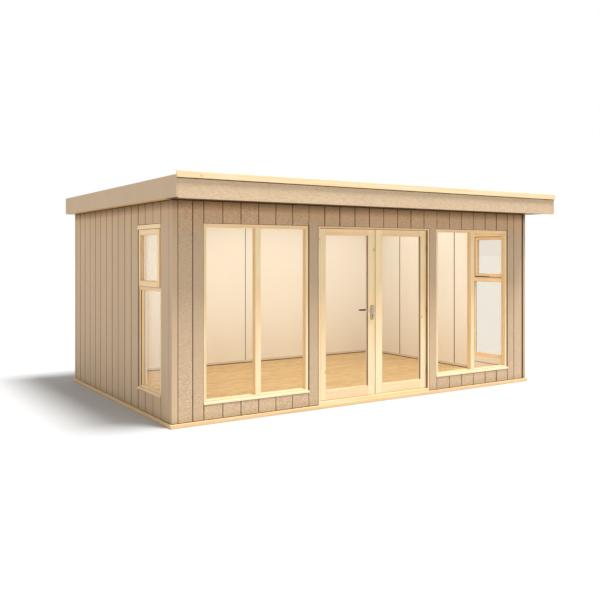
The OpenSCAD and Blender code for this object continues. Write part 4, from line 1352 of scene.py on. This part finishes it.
class Ironmongery(bpy.types.Operator):
    """Lock plates, levers, hinges and casement stays"""

    bl_idname = "garden_room.ironmongery"
    bl_label = "Ironmongery"

    def execute(self, context):
        for node in ("frame_hinges", "left_door_hinges", "right_door_hinges"):
            paint_node(node, "hinge_metal")
        paint_node("casement_stays", "dark_metal")
        self.lock(context.scene.room_fittings)
        self.levers(context.scene.room_fittings)
        return {"FINISHED"}

    def lock(self, sizes):
        low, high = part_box("lock_set")
        leaf_low, leaf_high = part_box("left_door")
        lever_low, lever_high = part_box("levers")
        lever_z = (lever_low.z + lever_high.z) / 2
        key_z = lever_z - sizes.key_drop
        across, centre = (low.x + high.x) / 2, (low.z + high.z) / 2
        wide, tall, rim = high.x - low.x, high.z - low.z, 2 * sizes.rim
        out = sizes.key_out
        piece = Piece("lock_plates")
        for face, door in ((low.y + out, leaf_low.y), (high.y - out, leaf_high.y)):
            way = 1 if face > door else -1
            piece.plate("satin_metal", (across, centre), (wide, tall), (door, face), sizes.plate_edge)
            # A brown plate behind, showing round its edge: painted shadow
            painted_shadow_plate = (door, door + way * sizes.painted_shadow_plate)
            piece.plate("bead_z", (across, centre), (wide + rim, tall + rim), painted_shadow_plate, sizes.painted_shadow_plate_edge)
            self.boss(piece, (across, key_z), face, way * out, sizes.key, sizes.turned_edge)
            slot = sorted(face + way * out * share for share in SLOT)
            piece.bar(
                "dark_metal", (across - sizes.slot_width, slot[0], key_z - sizes.slot_height),
                (across + sizes.slot_width, slot[1], key_z + sizes.slot_height), 0,
            )
            self.boss(piece, (across, lever_z), face, way * sizes.rose_out, sizes.rose, sizes.turned_edge)
            for lift in (sizes.screw_spread, -sizes.screw_spread):
                spot = (across, centre + lift)
                self.boss(piece, spot, face, way * sizes.screw_out, sizes.screw, sizes.fine_edge, 12)
        piece.turned("dark_metal", (across, leaf_low.y, key_z), (across, leaf_high.y, key_z), sizes.barrel)
        piece.finished("left_door", "satin_metal", "lock_set", smooth=True)

    def boss(self, piece, spot, face, out, radius, edge, segments=24):
        """A turned disc that stands out from a lock plate."""
        ends = ((spot[0], face, spot[1]), (spot[0], face + out, spot[1]))
        piece.turned("satin_metal", *ends, radius, segments=segments, edge=edge)

    def levers(self, sizes):
        low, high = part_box("levers")
        leaf_low, leaf_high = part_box("left_door")
        axis_x, axis_z = high.x - sizes.neck, (low.z + high.z) / 2
        past, reach = sizes.arm_past, axis_x - low.x
        piece = Piece("lever_handles")
        # The inner lever is painted dark: painted shade
        for name, door, tip, tall in (
            ("satin_metal", leaf_low.y, low.y, sizes.outer_arm),
            ("dark_metal", leaf_high.y, high.y, sizes.inner_arm),
        ):
            way = 1 if tip > door else -1
            arm = tip - way * sizes.arm_inset
            ends = ((axis_x, door, axis_z), (axis_x, arm, axis_z))
            piece.turned(name, *ends, sizes.neck, sizes.neck_tip, edge=sizes.fine_edge)
            middle = Vector(((axis_x + past / 2 + low.x) / 2, arm, axis_z))
            half = Vector((reach + past, sizes.arm_depth, tall)) / 2
            edges = piece.block(middle - half, middle + half)
            tips = {v for e in edges for v in e.verts if v.co.x < axis_x - reach / 2}
            bmesh.ops.scale(
                piece.mesh, verts=list(tips), vec=(1, sizes.arm_tip, sizes.arm_tip),
                space=Matrix.Translation((0, -arm, -axis_z)),
            )
            piece.bevel(edges, sizes.arm_edge, 4)
            piece.dress(name)
        ends = ((axis_x, leaf_low.y, axis_z), (axis_x, leaf_high.y, axis_z))
        piece.turned("dark_metal", *ends, sizes.spindle, segments=4)
        piece.finished("levers", "satin_metal", "levers", smooth=True)


class Stage(bpy.types.Operator):
    """Pale floor, soft light and the camera"""

    bl_idname = "garden_room.stage"
    bl_label = "Stage"

    def execute(self, context):
        scene = context.scene
        stage = scene.room_stage
        scene.view_settings.view_transform = "Standard"
        self.ground(scene, stage)
        self.sky(scene, stage)
        self.sun(scene, stage)
        self.inside(scene, stage)
        self.camera(scene, stage)
        return {"FINISHED"}

    def show(self, scene, name, data):
        made = bpy.data.objects.new(name, data)
        scene.collection.objects.link(made)
        return made

    def ground(self, scene, stage):
        mesh = bmesh.new()
        spot = Matrix.Translation((0, 0, -stage.ground_gap))
        bmesh.ops.create_grid(mesh, x_segments=1, y_segments=1, size=stage.ground_reach, matrix=spot)
        data = bpy.data.meshes.new("studio_floor")
        mesh.to_mesh(data)
        mesh.free()
        made = Finish("studio_floor", 1.0)
        made.shader.inputs["Specular IOR Level"].default_value = 0.0
        haze = made.noise(made.place(EVEN), 0.6, 2.0)
        data.materials.append(made.paint(made.vary(rgba(stage.ground), haze, 0.99, 1.0)))
        self.show(scene, "studio_floor", data)

    def sky(self, scene, stage):
        """White to the camera, in mirrors and through glass, and softer as a light."""
        world = bpy.data.worlds.new("studio_sky")
        world.use_nodes = True
        scene.world = world
        tree = world.node_tree
        path = tree.nodes.new("ShaderNodeLightPath")
        seen = path.outputs["Is Camera Ray"]
        for name in ("Is Glossy Ray", "Is Transmission Ray"):
            most = tree.nodes.new("ShaderNodeMath")
            most.operation = "MAXIMUM"
            tree.links.new(seen, most.inputs[0])
            tree.links.new(path.outputs[name], most.inputs[1])
            seen = most.outputs[0]
        power = tree.nodes.new("ShaderNodeMapRange")
        tree.links.new(seen, power.inputs["Value"])
        power.inputs["To Min"].default_value = stage.sky
        power.inputs["To Max"].default_value = 1.0
        back = tree.nodes["Background"]
        back.inputs["Color"].default_value = rgba(EVEN)
        tree.links.new(power.outputs["Result"], back.inputs["Strength"])

    def sun(self, scene, stage):
        key = bpy.data.lights.new("key_lamp", "SUN")
        key.energy = stage.key
        key.angle = stage.key_spread
        flat = math.cos(stage.key_height)
        side, ahead = -math.sin(stage.key_turn) * flat, math.cos(stage.key_turn) * flat
        way = Vector((side, ahead, -math.sin(stage.key_height)))
        self.show(scene, "key_lamp", key).rotation_euler = way.to_track_quat("-Z", "Y").to_euler()

    def inside(self, scene, stage):
        """Wide lamps under the ceiling and at the front wall, which the camera doesn't see."""
        low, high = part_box("floor_boards")
        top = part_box("ceiling")[0].z
        right = (low.x + high.x) / 2 + stage.lamp_right
        over = (right, (low.y + high.y) / 2 + stage.lamp_back, top - stage.lamp_gap)
        ahead = (right, low.y + stage.lamp_gap, (high.z + top) / 2 + stage.lamp_lift)
        for name, power, spot, width, turn in (
            ("ceiling_lamp", stage.inside, over, stage.lamp_wide, 0.0),
            ("wall_lamp", stage.wall, ahead, stage.wall_wide, math.pi / 2),
        ):
            lamp = bpy.data.lights.new(name, "AREA")
            lamp.shape = "RECTANGLE"
            lamp.size = (high.x - low.x) * width
            lamp.size_y = (high.y - low.y) * stage.lamp_deep
            lamp.energy = power
            made = self.show(scene, name, lamp)
            made.location = spot
            made.rotation_euler = (turn, 0, 0)
            made.visible_camera = False
            made.visible_glossy = False

    def camera(self, scene, stage):
        data = bpy.data.cameras.new("camera")
        data.lens = stage.lens
        data.sensor_width = 36.0
        data.sensor_fit = "HORIZONTAL"
        data.shift_y = stage.rise
        made = self.show(scene, "camera", data)
        made.location = stage.eye
        made.rotation_euler = (math.pi / 2, 0, stage.turn)
        scene.camera = made


GROUPS = {
    "room_sizes": RoomSizes, "room_fittings": RoomFittings,
    "room_colours": RoomColours, "room_stage": RoomStage,
}
STEPS = (
    Base, Floor, Cladding, Lining, Roof, FrontWindows, SideWindows, Sills, Doors, Glazing, Ironmongery, Stage,
)


class GardenRoomPanel(bpy.types.Panel):
    """Lists the steps that dress the garden room, with its sizes and colours"""

    bl_idname = "VIEW3D_PT_garden_room"
    bl_label = "Garden Room"
    bl_space_type = "VIEW_3D"
    bl_region_type = "UI"
    bl_category = "Garden Room"

    def draw(self, context):
        column = self.layout.column()
        for step in STEPS:
            column.operator(step.bl_idname)
        for group in (getattr(context.scene, name) for name in GROUPS):
            for name in group.bl_rna.properties.keys():
                if name not in ("rna_type", "name"):
                    column.prop(group, name)


def register():
    for made in (*GROUPS.values(), *STEPS, GardenRoomPanel):
        bpy.utils.register_class(made)
    for name, group in GROUPS.items():
        setattr(bpy.types.Scene, name, bpy.props.PointerProperty(type=group))


def unregister():
    for name in GROUPS:
        delattr(bpy.types.Scene, name)
    for made in (GardenRoomPanel, *reversed(STEPS), *GROUPS.values()):
        bpy.utils.unregister_class(made)


def main():
    register()
    for step in (
        bpy.ops.garden_room.base, bpy.ops.garden_room.floor, bpy.ops.garden_room.cladding,
        bpy.ops.garden_room.lining, bpy.ops.garden_room.roof, bpy.ops.garden_room.front_windows,
        bpy.ops.garden_room.side_windows, bpy.ops.garden_room.sills, bpy.ops.garden_room.doors,
        bpy.ops.garden_room.glazing, bpy.ops.garden_room.ironmongery, bpy.ops.garden_room.stage,
    ):
        step()


if __name__ == "__main__":
    main()
